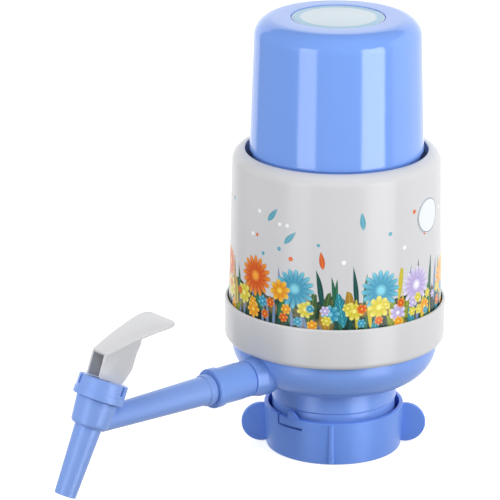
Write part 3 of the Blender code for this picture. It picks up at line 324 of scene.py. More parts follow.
class Tree:
    """Short-hand for building one node tree."""

    def __init__(self, tree: bpy.types.NodeTree) -> None:
        """Keep the tree that the calls below add to."""
        self.tree = tree

    def add(self, kind: str, feeds: Feeds | None = None, **settings: object) -> bpy.types.Node:
        """Add a node, set its properties and feed its inputs.

        Args:
            kind: The node's type name.
            feeds: What its inputs get, by name or place.
            **settings: Properties of the node.

        Returns:
            The new node.
        """
        node = self.tree.nodes.new(kind)
        for name, value in settings.items():
            setattr(node, name, value)
        self.feed_all(node, feeds or {})
        return node

    def out(self, kind: str, feeds: Feeds | None = None, **settings: object) -> Socket:
        """Add a node in the same way and return its first output."""
        return self.add(kind, feeds, **settings).outputs[0]

    def feed_all(self, node: bpy.types.Node, feeds: Feeds) -> None:
        """Feed several of a node's inputs, by name or place."""
        for key, source in feeds.items():
            self.feed(node.inputs[key], source)

    def feed(self, target: Socket, source: Value) -> None:
        """Link a socket to another, or set its value."""
        if isinstance(source, Socket):
            self.tree.links.new(source, target)
        else:
            target.default_value = source

    def socket(self, name: str, kind: str, default: object = None, output: bool = False) -> str:
        """Add a named socket to a group's interface.

        Args:
            name: The socket's name.
            kind: Type name after NodeSocket, such as Float.
            default: Value of an input that isn't linked.
            output: Whether it is an output.

        Returns:
            The socket's identifier.
        """
        made = self.tree.interface.new_socket(
            name, in_out="OUTPUT" if output else "INPUT", socket_type="NodeSocket" + kind)
        if default is not None:
            made.default_value = default
        return made.identifier

    def math(self, operation: str, first: Value, second: Value = 0.0, clamp: bool = False) -> Socket:
        """Add a Math node and return its result."""
        return self.out("ShaderNodeMath", {0: first, 1: second}, operation=operation, use_clamp=clamp)

    def plus(self, first: Value, second: Value, clamp: bool = False) -> Socket:
        """Add two values."""
        return self.math("ADD", first, second, clamp)

    def minus(self, first: Value, second: Value, clamp: bool = False) -> Socket:
        """Take one value from another."""
        return self.math("SUBTRACT", first, second, clamp)

    def times(self, first: Value, second: Value, clamp: bool = False) -> Socket:
        """Multiply two values."""
        return self.math("MULTIPLY", first, second, clamp)

    def over(self, first: Value, second: Value) -> Socket:
        """Divide one value by another."""
        return self.math("DIVIDE", first, second)

    def swing(self, value: Value, amount: Value) -> Socket:
        """Turn a value from 0 to 1 into a swing round zero."""
        return self.times(self.minus(value, 0.5), amount)

    def vector(self, operation: str, first: Value, second: Value = (0.0, 0.0, 0.0)) -> Socket:
        """Add a Vector Math node and return its vector."""
        return self.out("ShaderNodeVectorMath", {0: first, 1: second}, operation=operation)

    def length(self, vector: Socket) -> Socket:
        """Return a vector's length."""
        return self.add("ShaderNodeVectorMath", {0: vector}, operation="LENGTH").outputs["Value"]

    def noise(self, place: Socket, scale: Value, detail: float) -> Socket:
        """Add a noise texture and return its value."""
        return self.out("ShaderNodeTexNoise", {"Vector": place, "Scale": scale, "Detail": detail})

    def blend(self, share: Socket, under: Value, above: Value, kind: str = "RGBA") -> Socket:
        """Blend two colours, or two numbers with the kind FLOAT, by a share."""
        first, result = {"RGBA": (6, 2), "FLOAT": (2, 0)}[kind]
        feeds = {"Factor": share, first: under, first + 1: above}
        return self.add("ShaderNodeMix", feeds, data_type=kind).outputs[result]


class FormTree(Tree):
    """A Geometry Nodes tree that makes one kind of form and paints it."""

    def __init__(self, name: str, inputs: dict[str, int | float], from_mesh: bool = True) -> None:
        """Make the tree and its sockets.

        Args:
            name: The tree's name.
            inputs: Each number that it takes, with its default.
            from_mesh: Whether the form starts from the object's own mesh.
        """
        super().__init__(bpy.data.node_groups.new(name, "GeometryNodeTree"))
        if from_mesh:
            self.socket("Geometry", "Geometry")
        self.ids = {}
        for label, default in inputs.items():
            kind = "Int" if isinstance(default, int) else "Float"
            self.ids[label] = self.socket(label, kind, default)
        self.ids["Material"] = self.socket("Material", "Material")
        self.socket("Geometry", "Geometry", output=True)
        self.entry = self.add("NodeGroupInput").outputs

    def close(self, form: Socket) -> None:
        """End the tree: the form's instances are made real and painted."""
        real = self.out("GeometryNodeRealizeInstances", {"Geometry": form})
        painted = self.out("GeometryNodeSetMaterial", {"Geometry": real, "Material": self.entry["Material"]})
        self.add("NodeGroupOutput", {"Geometry": painted})

    def follow(self, route: Socket, resolution: int, radius: Socket) -> None:
        """End the tree with a round bar along a curve.

        Args:
            route: The curve.
            resolution: Number of the bar's sides.
            radius: The bar's radius.
        """
        ring = self.out("GeometryNodeCurvePrimitiveCircle", {"Resolution": resolution, "Radius": radius})
        feeds = {"Curve": route, "Profile Curve": ring, "Fill Caps": True}
        self.close(self.out("GeometryNodeCurveToMesh", feeds))

    def run(self, thing: Thing, finish: Finish, values: dict[str, int | float]) -> Thing:
        """Let the tree form an object, as a plain mesh.

        Args:
            thing: The object.
            finish: The form's material.
            values: The tree's numbers.

        Returns:
            The same object.
        """
        modifier = thing.modifiers.new(self.tree.name, "NODES")
        modifier.node_group = self.tree
        for label, value in values.items():
            modifier[self.ids[label]] = value
        modifier[self.ids["Material"]] = finish
        return baked(thing)


class Lathe(FormTree):
    """Turns outlines round the Z axis."""

    def __init__(self) -> None:
        """Build the tree: an outline is swept along a circle and closed at its poles."""
        super().__init__("turned_form", {"Sides": 96})
        profile = self.out("GeometryNodeMeshToCurve", {"Mesh": self.entry["Geometry"]})
        feeds = {"Geometry": profile, "Translation": (-1.0, 0.0, 0.0), "Scale": (1.0, -1.0, 1.0)}
        shift = self.out("GeometryNodeTransform", feeds)
        feeds = {"Radius": 1.0, "Resolution": self.entry["Sides"]}
        circle = self.out("GeometryNodeCurvePrimitiveCircle", feeds)
        upright = self.out("GeometryNodeSetCurveNormal", {"Curve": circle}, mode="Z_UP")
        sweep = self.out("GeometryNodeCurveToMesh", {"Curve": upright, "Profile Curve": shift})
        self.close(self.out("GeometryNodeMergeByDistance", {"Geometry": sweep, "Distance": MERGE}))

    def turn(self, name: str, corners: Sequence[Corner], sides: int, finish: Finish, steps: int = 6) -> Thing:
        """Turn an outline into a solid.

        Args:
            name: The object's name.
            corners: Corners down the outer side, from the axis and back to it, or round a bored section.
            sides: Number of sides round the axis.
            finish: The solid's material.
            steps: Straight steps in each rounding.

        Returns:
            The turned solid, about the Z axis.
        """
        bored = corners[0].across > 0
        points = [(across, along, 0) for across, along in soften(corners, bored, steps)]
        return smoothed(self.run(wire_object(name, points, bored), finish, {"Sides": sides}))


class CopyRing(FormTree):
    """Sets copies of a solid on a circle."""

    def __init__(self) -> None:
        """Build the tree: each copy is turned by its place on the circle."""
        super().__init__("copies_on_a_circle", {"Count": 2, "First Turn": 0.0})
        spots = self.out("GeometryNodePoints", {"Count": self.entry["Count"]})
        share = self.over(self.out("GeometryNodeInputIndex"), self.entry["Count"])
        angle = self.plus(self.times(share, math.tau), self.entry["First Turn"])
        facing = self.out("ShaderNodeCombineXYZ", {"Z": angle})
        feeds = {"Points": spots, "Instance": self.entry["Geometry"], "Rotation": facing}
        self.close(self.out("GeometryNodeInstanceOnPoints", feeds))

    def spread(self, thing: Thing, count: int, turn: float, finish: Finish) -> Thing:
        """Repeat a solid round the Z axis.

        Args:
            thing: The solid at azimuth 0.
            count: Number of copies.
            turn: Azimuth of the first copy.
            finish: Material of the copies.

        Returns:
            The same object, holding all the copies.
        """
        return self.run(thing, finish, {"Count": count, "First Turn": turn})


class BentTube(FormTree):
    """Sweeps a round bar along a route with rounded bends."""

    bend_points = 20
    sides = 40

    def __init__(self) -> None:
        """Build the tree: the route's corners are rounded and a circle follows it."""
        super().__init__("bent_tube", {"Radius": 0.005, "Bend Radius": 0.012})
        route = self.out("GeometryNodeMeshToCurve", {"Mesh": self.entry["Geometry"]})
        feeds = {"Curve": route, "Radius": self.entry["Bend Radius"], "Count": self.bend_points}
        bend = self.out("GeometryNodeFilletCurve", feeds, mode="POLY")
        self.follow(bend, self.sides, self.entry["Radius"])

    def sweep(
        self, name: str, route: Sequence[Sequence[float]], radius: float, bend: float, finish: Finish,
    ) -> Thing:
        """Sweep a solid round bar along a route.

        Args:
            name: The object's name.
            route: Corners of the route.
            radius: Radius of the bar.
            bend: Radius of its bends.
            finish: Its material.

        Returns:
            The bar.
        """
        return self.run(wire_object(name, route), finish, {"Radius": radius, "Bend Radius": bend})


class CoilSpring(FormTree):
    """Sweeps a round wire along a spiral."""

    steps_per_turn = 40
    sides = 12

    def __init__(self) -> None:
        """Build the tree: a spiral of even radius and a circle that follows it."""
        inputs = {"Radius": 0.01, "Wire Radius": 0.001, "Height": 0.05, "Turns": 6.0}
        super().__init__("coil_spring", inputs, from_mesh=False)
        spiral = self.out("GeometryNodeCurveSpiral", {
            "Resolution": self.steps_per_turn,
            "Rotations": self.entry["Turns"],
            "Start Radius": self.entry["Radius"],
            "End Radius": self.entry["Radius"],
            "Height": self.entry["Height"],
        })
        self.follow(spiral, self.sides, self.entry["Wire Radius"])

    def wind(
        self, name: str, radius: float, wire: float, length: float, turns: float, finish: Finish,
    ) -> Thing:
        """Wind a spring that stands on the origin.

        Args:
            name: The object's name.
            radius: Radius of the wire's middle line.
            wire: Thickness of the wire.
            length: Full length of the spring.
            turns: Number of turns.
            finish: Its material.

        Returns:
            The spring.
        """
        values = {"Radius": radius, "Wire Radius": wire / 2, "Height": length - wire, "Turns": float(turns)}
        spring = self.run(new_object(name, bpy.data.meshes.new(name)), finish, values)
        return placed(spring, Matrix.Translation((0, 0, wire / 2)))


# Finishes

WHITE = (1.0, 1.0, 1.0, 1.0)
SRGB_KNEE = 0.04045
SRGB_SLOPE = 12.92
SRGB_OFFSET = 0.055
SRGB_POWER = 2.4


def linear(red: int, green: int, blue: int) -> Colour:
    """Turn a display colour with channels from 0 to 255 into a linear one with full alpha."""
    channels = []
    for value in (red, green, blue):
        share = value / 255
        curved = ((share + SRGB_OFFSET) / (1 + SRGB_OFFSET)) ** SRGB_POWER
        channels.append(curved if share > SRGB_KNEE else share / SRGB_SLOPE)
    return (*channels, 1.0)


def surface_group() -> bpy.types.NodeTree:
    """Build the group that gives a moulded surface its drift, peel and rubbing marks."""
    drift_scale = 26.0
    mark_scale = 420.0
    mark_stretch = (1.0, 1.0, 0.08)
    sketch = Tree(bpy.data.node_groups.new("moulded_surface", "ShaderNodeTree"))
    sketch.socket("Colour", "Color", (0.8, 0.8, 0.8, 1.0))
    numbers = {"Colour Drift": 0.03, "Roughness": 0.3, "Rubbing": 0.08, "Peel Scale": 900.0}
    for name, default in numbers.items():
        sketch.socket(name, "Float", default)
    sketch.socket("Colour", "Color", output=True)
    sketch.socket("Roughness", "Float", output=True)
    sketch.socket("Height", "Float", output=True)
    entry = sketch.add("NodeGroupInput").outputs
    place = sketch.add("ShaderNodeTexCoord").outputs["Object"]
    drift = sketch.swing(sketch.noise(place, drift_scale, 3.0), entry["Colour Drift"])
    tint = sketch.vector("SCALE", entry["Colour"])
    sketch.feed(tint.node.inputs["Scale"], sketch.plus(sketch.times(drift, 2.0), 1.0))
    marks = sketch.noise(sketch.vector("MULTIPLY", place, mark_stretch), mark_scale, 5.0)
    rubbed = sketch.swing(marks, entry["Rubbing"])
    sketch.add("NodeGroupOutput", {
        "Colour": tint,
        "Roughness": sketch.plus(rubbed, entry["Roughness"], clamp=True),
        "Height": sketch.noise(place, entry["Peel Scale"], 2.0),
    })
    return sketch.tree


class Scatter(Tree):
    """A shader group that scatters motifs over the unrolled surface, one to a cell."""

    unevenness_share = 0.6

    def __init__(self, name: str) -> None:
        """Build what both motifs share: cells, the place inside a cell and random picks."""
        super().__init__(bpy.data.node_groups.new(name, "ShaderNodeTree"))
        self.socket("Wrap", "Vector")
        numbers = {"Cells": 60.0, "Seed": 0.0, "Size": 0.5, "Narrowing": 1.0, "Form": 0.3}
        for label, default in numbers.items():
            self.socket(label, "Float", default)
        for label in ("Mask", "Shade", "Pick", "Centre Height"):
            self.socket(label, "Float", output=True)
        self.entry = self.add("NodeGroupInput").outputs
        self.leave = self.add("NodeGroupOutput").inputs
        cells = self.entry["Cells"]
        columns = self.times(cells, self.entry["Narrowing"])
        spacing = self.out("ShaderNodeCombineXYZ", {"X": columns, "Y": cells})
        moved = self.vector("ADD", self.vector("MULTIPLY", self.entry["Wrap"], spacing), self.entry["Seed"])
        feeds = {"Vector": moved, "Scale": 1.0, "Randomness": self.unevenness_share}
        cell = self.add("ShaderNodeTexVoronoi", feeds, voronoi_dimensions="2D", feature="F1")
        inside = self.vector("SUBTRACT", moved, cell.outputs["Position"])
        self.inside = self.vector("MULTIPLY", inside, (1.0, 1.0, 0.0))
        picks = self.add("ShaderNodeSeparateColor", {0: cell.outputs["Color"]}).outputs
        self.turn = picks[0]
        self.third = picks[2]
        centre = self.add("ShaderNodeSeparateXYZ", {0: cell.outputs["Position"]}).outputs["Y"]
        self.feed(self.leave["Centre Height"], self.over(self.minus(centre, self.entry["Seed"]), cells))
        self.feed(self.leave["Pick"], picks[1])


def leaf_group() -> bpy.types.NodeTree:
    """Build the group that scatters pointed leaves with a midrib and veins."""
    lean = 1.6
    taper_share = 0.4
    edge_sharpness = 40.0
    rib_sharpness = 45.0
    rib_shade = 0.6
    vein_slant = -3.0
    vein_count = 26.0
    vein_shade = 0.18
    group = Scatter("scattered_leaves")
    feeds = {"Vector": group.inside, "Angle": group.swing(group.turn, lean)}
    turned = group.out("ShaderNodeVectorRotate", feeds, rotation_type="Z_AXIS")
    parts = group.add("ShaderNodeSeparateXYZ", {0: turned}).outputs
    along = group.over(parts["Y"], group.entry["Size"])
    side = group.math("ABSOLUTE", parts["X"])
    bulge = group.minus(1.0, group.times(along, along), clamp=True)
    taper = group.minus(1.0, group.times(along, taper_share))
    width = group.times(group.times(bulge, taper), group.entry["Size"])
    edge = group.minus(group.times(width, group.entry["Form"]), side)
    group.feed(group.leave["Mask"], group.times(edge, edge_sharpness, clamp=True))
    rib = group.minus(1.0, group.times(side, rib_sharpness), clamp=True)
    slope = group.plus(along, group.times(side, vein_slant))
    veins = group.math("SINE", group.times(slope, vein_count))
    veins = group.times(group.plus(veins, 1.0), vein_shade)
    group.feed(group.leave["Shade"], group.plus(group.times(rib, rib_shade), veins, clamp=True))
    return group.tree


def blossom_group() -> bpy.types.NodeTree:
    """Build the group that scatters round-petalled blossoms with a bright heart."""
    notch_power = 0.6
    notch_share = 0.36
    size_spread_share = 0.3
    edge_sharpness = 14.0
    heart_sharpness = 3.2
    heart_shade = 1.6
    fold_shade = 0.95
    group = Scatter("scattered_blossoms")
    parts = group.add("ShaderNodeSeparateXYZ", {0: group.inside}).outputs
    angle = group.math("ARCTAN2", parts["Y"], parts["X"])
    angle = group.plus(angle, group.times(group.turn, math.tau))
    petal = group.math("ABSOLUTE", group.math("COSINE", group.times(angle, group.entry["Form"])))
    lobes = group.plus(group.times(group.math("POWER", petal, notch_power), notch_share), 1 - notch_share)
    spread = group.plus(group.times(group.third, size_spread_share), 1 - size_spread_share)
    share = group.over(group.length(group.inside), group.times(group.entry["Size"], spread))
    group.feed(group.leave["Mask"], group.times(group.minus(lobes, share), edge_sharpness, clamp=True))
    heart = group.minus(1.0, group.times(share, heart_sharpness), clamp=True)
    folds = group.times(group.times(petal, group.math("POWER", share, 2.0)), fold_shade)
    group.feed(group.leave["Shade"], group.plus(group.times(heart, heart_shade), folds, clamp=True))
    return group.tree


@dataclass(frozen=True)
class ScatterLayer:
    """One layer of the printed band: leaves or blossoms between two heights."""

    group: str
    cells: float
    seed: float
    size: float
    low: float
    high: float
    least_pick: float
    narrowing: float
    form: float
    palette: tuple[tuple[Colour, Colour], ...]


@dataclass(frozen=True)
class Moulded:
    """A moulded plastic finish with a faint peel and rubbing marks."""

    name: str
    colour: Colour
    roughness: float = 0.30
    drift: float = 0.02
    rubbing: float = 0.10
    peel_scale: float = 900.0
    peel_depth: float = 0.000004
    specular: float = 0.5
    translucence: float = 0.0
    scatter_depth: float = 0.002

    def shader(self, group: bpy.types.NodeTree) -> tuple[Finish, Tree, Socket, bpy.types.Node]:
        """Make the material with its surface group wired to the shader.

        Args:
            group: The shared surface group.

        Returns:
            The material, its tree, the surface's colour and the shader node.
        """
        material = bpy.data.materials.new(self.name)
        material.use_nodes = True
        material.diffuse_color = self.colour
        sketch = Tree(material.node_tree)
        shader = material.node_tree.nodes["Principled BSDF"]
        surface = sketch.add("ShaderNodeGroup", node_tree=group)
        sketch.feed_all(surface, {
            "Colour": self.colour, "Colour Drift": self.drift, "Roughness": self.roughness,
            "Rubbing": self.rubbing, "Peel Scale": self.peel_scale,
        })
        feeds = {"Strength": 1.0, "Distance": self.peel_depth, "Height": surface.outputs["Height"]}
        links = {
            "Specular IOR Level": self.specular,
            "Base Color": surface.outputs["Colour"],
            "Roughness": surface.outputs["Roughness"],
            "Normal": sketch.out("ShaderNodeBump", feeds),
        }
        if self.translucence > 0:
            links["Subsurface Weight"] = self.translucence
            links["Subsurface Radius"] = (1.0, 1.0, 1.0)
            links["Subsurface Scale"] = self.scatter_depth
        sketch.feed_all(shader, links)
        return material, sketch, surface.outputs["Colour"], shader

    def make(self, group: bpy.types.NodeTree) -> Finish:
        """Return the material."""
        return self.shader(group)[0]


@dataclass(frozen=True)
class PrintedBand(Moulded):
    """Moulded plastic with a transfer print of leaves and blossoms round its foot."""

    layers: tuple[ScatterLayer, ...] = ()
    ground_colours: tuple[Colour, ...] = (
        (0.008, 0.020, 0.014, 1.0), (0.018, 0.055, 0.034, 1.0),
        (0.30, 0.20, 0.06, 1.0), (0.04, 0.14, 0.26, 1.0),
    )
    ground_stops: tuple[float, ...] = (0.40, 0.50, 0.60, 0.68)
    ground_top: float = 0.0925
    ground_swing: float = 0.0110
    ground_sharpness: float = 1800.0
    wave_scale: float = 34.0
    patch_scale: float = 90.0
    patch_stretch: tuple[float, float, float] = (0.4, 1.0, 0.0)

    def make(self, group: bpy.types.NodeTree) -> Finish:
        """Build the print over the plain plastic and return the material."""
        material, sketch, plain, shader = self.shader(group)
        wrap = sketch.add("ShaderNodeUVMap", uv_map="wrap").outputs[0]
        height = sketch.add("ShaderNodeSeparateXYZ", {0: wrap}).outputs["Y"]
        groups = {"leaf": leaf_group(), "blossom": blossom_group()}
        colour, ink = self.ground(sketch, wrap, height)
        for layer in self.layers:
            colour, ink = self.lay(sketch, groups[layer.group], layer, wrap, colour, ink)
        sketch.feed(shader.inputs["Base Color"], sketch.blend(ink, plain, colour))
        return material

    def ground(self, sketch: Tree, wrap: Socket, height: Socket) -> tuple[Socket, Socket]:
        """Paint the dark ground with its wavy top.

        Args:
            sketch: The material's tree.
            wrap: Place on the unrolled surface.
            height: Height on it.

        Returns:
            The ground's colour and the ink's mask.
        """
        wave = sketch.noise(sketch.vector("MULTIPLY", wrap, (1.0, 0.0, 0.0)), self.wave_scale, 4.0)
        top = sketch.plus(sketch.swing(wave, 2 * self.ground_swing), self.ground_top)
        ink = sketch.times(sketch.minus(top, height), self.ground_sharpness, clamp=True)
        patch = sketch.noise(sketch.vector("MULTIPLY", wrap, self.patch_stretch), self.patch_scale, 4.0)
        return self.ramp(sketch, self.ground_colours, self.ground_stops, patch, "LINEAR"), ink

    def lay(
        self, sketch: Tree, group: bpy.types.NodeTree, layer: ScatterLayer,
        wrap: Socket, colour: Socket, ink: Socket,
    ) -> tuple[Socket, Socket]:
        """Lay one layer of motifs over what is printed already.

        Args:
            sketch: The material's tree.
            group: The motif's scatter group.
            layer: The layer's sizes and colours.
            wrap: Place on the unrolled surface.
            colour: Colour so far.
            ink: Ink's mask so far.

        Returns:
            The new colour and mask.
        """
        motif = sketch.add("ShaderNodeGroup", node_tree=group)
        sketch.feed_all(motif, {
            "Wrap": wrap, "Cells": layer.cells, "Seed": layer.seed, "Size": layer.size,
            "Narrowing": layer.narrowing, "Form": layer.form,
        })
        centre = motif.outputs["Centre Height"]
        pick = motif.outputs["Pick"]
        shown = sketch.times(motif.outputs["Mask"], sketch.math("GREATER_THAN", centre, layer.low))
        shown = sketch.times(shown, sketch.math("LESS_THAN", centre, layer.high))
        shown = sketch.times(shown, sketch.math("GREATER_THAN", pick, layer.least_pick))
        spread = sketch.over(sketch.minus(pick, layer.least_pick), 1.0 - layer.least_pick)
        stops = [index / len(layer.palette) for index in range(len(layer.palette))]
        dark, pale = (self.ramp(sketch, shades, stops, spread, "CONSTANT") for shades in zip(*layer.palette))
        motif_colour = sketch.blend(motif.outputs["Shade"], dark, pale)
        return sketch.blend(shown, colour, motif_colour), sketch.math("MAXIMUM", ink, shown)

    def ramp(
        self, sketch: Tree, colours: Sequence[Colour], stops: Sequence[float], value: Socket, kind: str,
    ) -> Socket:
        """Return one of several colours, or a blend of two, by a value from 0 to 1.

        Args:
            sketch: The material's tree.
            colours: The colours in order.
            stops: The value at which each one starts.
            value: The value.
            kind: LINEAR to blend, or CONSTANT for one colour at a time.

        Returns:
            The colour.
        """
        node = sketch.add("ShaderNodeValToRGB", {0: value})
        node.color_ramp.interpolation = kind
        elements = node.color_ramp.elements
        while len(elements) < len(stops):
            elements.new(1.0)
        for element, stop, colour in zip(elements, stops, colours):
            element.position = stop
            element.color = colour
        return node.outputs[0]


@dataclass(frozen=True)
class RingedFilm(Moulded):
    """Pale label film with a coloured ring near its edge."""

    ring_colour: Colour = (0.3, 0.6, 0.8, 1.0)
    ring_inner: float = 0.015
    ring_outer: float = 0.022
    softness: float = 0.0003

    def make(self, group: bpy.types.NodeTree) -> Finish:
        """Build the film with its ring and return the material."""
        material, sketch, plain, shader = self.shader(group)
        distance = sketch.length(sketch.add("ShaderNodeUVMap", uv_map="face").outputs[0])
        fade = sketch.out("ShaderNodeMapRange", {
            "Value": distance,
            "From Min": self.ring_inner - self.softness,
            "From Max": self.ring_inner + self.softness,
        }, interpolation_type="SMOOTHSTEP")
        amount = sketch.times(fade, sketch.math("LESS_THAN", distance, self.ring_outer))
        sketch.feed(shader.inputs["Base Color"], sketch.blend(amount, plain, self.ring_colour))
        return material


@dataclass(frozen=True)
class DrawnSteel(Moulded):
    """Spring wire with fine drawing lines."""

    def make(self, group: bpy.types.NodeTree) -> Finish:
        """Return the metal."""
        material, _sketch, _plain, shader = self.shader(group)
        shader.inputs["Metallic"].default_value = 1.0
        return material


BLADE_COLOURS = (
    (linear(22, 84, 62), linear(84, 150, 110)),
    (linear(92, 120, 158), linear(186, 200, 226)),
    (linear(20, 62, 58), linear(60, 120, 116)),
    (linear(190, 176, 40), linear(236, 214, 96)),
)
LEAF_COLOURS = (
    (linear(34, 92, 70), linear(96, 160, 96)),
    (linear(96, 118, 34), linear(196, 196, 70)),
    (linear(24, 112, 132), linear(96, 196, 204)),
    (linear(40, 70, 44), linear(120, 150, 84)),
    (linear(150, 110, 30), linear(228, 190, 84)),
)
BLOSSOM_COLOURS = (
    (linear(226, 140, 24), linear(250, 214, 84)),
    (linear(176, 160, 212), linear(240, 236, 248)),
    (linear(36, 134, 168), linear(130, 208, 224)),
    (linear(204, 72, 28), linear(246, 168, 60)),
    (linear(206, 190, 40), linear(244, 236, 140)),
)
STRAY_COLOURS = (
    (linear(250, 250, 250), linear(232, 238, 246)),
    (linear(70, 150, 176), linear(150, 206, 216)),
    (linear(206, 84, 40), linear(240, 150, 80)),
)


class Finishes:
    """All the pump's materials, made once."""

    def __init__(self) -> None:
        """Build the shared group and each finish."""
        group = surface_group()
        layers = (
            ScatterLayer("leaf", 44.0, 9.1, 0.60, 0.078, 0.1010, 0.10, 4.0, 0.36, BLADE_COLOURS),
            ScatterLayer("leaf", 56.0, 4.7, 0.62, 0.078, 0.0980, 0.05, 5.0, 0.40, BLADE_COLOURS),
            ScatterLayer("leaf", 60.0, 3.1, 0.62, 0.078, 0.1020, 0.25, 1.0, 0.30, LEAF_COLOURS),
            ScatterLayer("leaf", 84.0, 7.7, 0.60, 0.078, 0.0960, 0.15, 1.0, 0.30, LEAF_COLOURS),
            ScatterLayer("blossom", 42.0, 6.3, 0.47, 0.083, 0.1000, 0.20, 1.0, 8.0, BLOSSOM_COLOURS),
            ScatterLayer("blossom", 76.0, 8.9, 0.47, 0.078, 0.0960, 0.20, 1.0, 4.0, BLOSSOM_COLOURS),
            ScatterLayer("blossom", 150.0, 4.2, 0.45, 0.076, 0.0900, 0.12, 1.0, 3.0, BLOSSOM_COLOURS),
            ScatterLayer("leaf", 100.0, 11.3, 0.50, 0.108, 0.1360, 0.88, 1.0, 0.30, STRAY_COLOURS),
            ScatterLayer("blossom", 240.0, 13.7, 0.34, 0.108, 0.1400, 0.93, 1.0, 3.0, STRAY_COLOURS),
        )
        blue = linear(121, 162, 240)
        grey = linear(208, 208, 210)
        self.cap_blue = Moulded("polished_blue_plastic", blue, 0.13).make(group)
        self.blue = Moulded("blue_plastic", linear(119, 157, 231), 0.31, specular=0.42).make(group)
        # The collar's copy of the blue plastic is darker than the bowl's: painted shade.
        self.shade_painted_collar_blue = Moulded(
            "collar_blue_plastic_with_painted_shade", linear(108, 148, 228), 0.38, specular=0.32).make(group)
        # The spout's copy of the blue plastic is lighter and redder than the bowl's: painted light.
        self.light_painted_spout_blue = Moulded(
            "spout_blue_plastic_with_painted_light", linear(127, 160, 227), 0.34, specular=0.42).make(group)
        self.grey = Moulded("grey_plastic", grey, 0.24, specular=0.2).make(group)
        self.printed = PrintedBand(
            "printed_grey_plastic", grey, 0.24, specular=0.2, layers=layers).make(group)
        self.white = Moulded("milky_plastic", linear(228, 228, 222), 0.42, translucence=0.2).make(group)
        self.rubber = Moulded("soft_rubber", linear(216, 216, 210), 0.62, specular=0.3).make(group)
        self.label = RingedFilm(
            "label_film", linear(205, 221, 231), 0.34, ring_colour=linear(150, 196, 222),
            ring_inner=0.0186, ring_outer=0.0223, softness=0.0008).make(group)
        self.sticker = RingedFilm(
            "sticker_film", linear(228, 232, 236), 0.34, ring_colour=linear(104, 118, 138),
            ring_inner=0.0081, ring_outer=0.0086, softness=0.0001).make(group)
        self.steel = DrawnSteel("spring_steel", linear(190, 190, 192), 0.28, rubbing=0.3).make(group)


class Workshop:
    """The node trees and finishes that the sub-assemblies share."""

    def __init__(self) -> None:
        """Build the trees and the finishes."""
        self.lathe = Lathe()
        self.ring = CopyRing()
        self.tube = BentTube()
        self.coil = CoilSpring()
        self.finishes = Finishes()


def hand_over(thing: Thing, body: Body, slot: Slot, finish: Finish, *nodes: str) -> None:
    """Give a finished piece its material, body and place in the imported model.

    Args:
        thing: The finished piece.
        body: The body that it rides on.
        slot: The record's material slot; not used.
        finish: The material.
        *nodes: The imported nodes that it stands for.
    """
    thing.data.materials.clear()
    thing.data.materials.append(finish)
    for polygon in thing.data.polygons:
        polygon.material_index = 0
    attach(thing, body.value)
    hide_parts(*nodes)
    LOG.info("%s: %d faces, rides on %s", thing.name, len(thing.data.polygons), body.value)


def store_face_map(thing: Thing) -> None:
    """Write a flat film's UV map, in metres from its centre."""
    layer = thing.data.uv_layers.new(name="face")
    for loop in thing.data.loops:
        layer.data[loop.index].uv = thing.data.vertices[loop.vertex_index].co.xy


@dataclass
class CapAssembly:
    """The blue cap and its round label."""

    shop: Workshop
    top: float = 0.2210
    foot: float = 0.1315
    top_radius: float = 0.0408
    foot_radius: float = 0.0438
    relief: float = 0.0013
    relief_top: float = 0.1547
    corner_radius: float = 0.0095
    recess_radius: float = 0.0232
    recess_depth: float = 0.0010
    roof: float = 0.0024
    wall: float = 0.0018
    flange_radius: float = 0.0485
    flange_thickness: float = 0.0025
    edge: float = 0.0004
    label_radius: float = 0.0227
    label_thickness: float = 0.0007
    sides: int = 192

    def build(self) -> None:
        """Build the cap and the label."""
        self.build_cap()
        self.build_label()

    def build_cap(self) -> None:
        """Turn the tall inverted cup with its label recess and stop flange."""
        recess = self.top - self.recess_depth
        ceiling = recess - self.roof
        flange_top = self.foot + self.flange_thickness
        drop = (self.top - self.relief_top) / (self.top - flange_top)
        relief_radius = self.top_radius + (self.foot_radius - self.top_radius) * drop
        corners = [
            Corner(0, recess),
            Corner(self.recess_radius, recess, self.edge),
            Corner(self.recess_radius, self.top, self.edge),
            Corner(self.top_radius, self.top, self.corner_radius),
            Corner(relief_radius, self.relief_top, self.edge / 2),
            Corner(relief_radius - self.relief, self.relief_top - self.edge, self.edge / 4),
            Corner(self.foot_radius - self.relief, flange_top, self.edge),
            Corner(self.flange_radius, flange_top, self.edge),
            Corner(self.flange_radius, self.foot, self.edge),
            Corner(self.foot_radius - self.relief - self.wall, self.foot, self.edge),
            Corner(self.top_radius - self.wall, ceiling, self.corner_radius - self.wall),
            Corner(0, ceiling),
        ]
        finish = self.shop.finishes.cap_blue
        cap = self.shop.lathe.turn("cap_shell", corners, self.sides, finish, steps=14)
        hand_over(cap, Body.CAP, Slot.BLUE, finish, "press_cap")

    def build_label(self) -> None:
        """Turn the thin round label in the recess."""
        foot = self.top - self.recess_depth + self.edge / 4
        top = foot + self.label_thickness
        corners = [
            Corner(0, top),
            Corner(self.label_radius, top, self.edge / 2),
            Corner(self.label_radius, foot),
            Corner(0, foot),
        ]
        finish = self.shop.finishes.label
        label = self.shop.lathe.turn("cap_badge", corners, self.sides, finish, steps=3)
        store_face_map(label)
        hand_over(label, Body.CAP, Slot.FILM, finish, "cap_label")


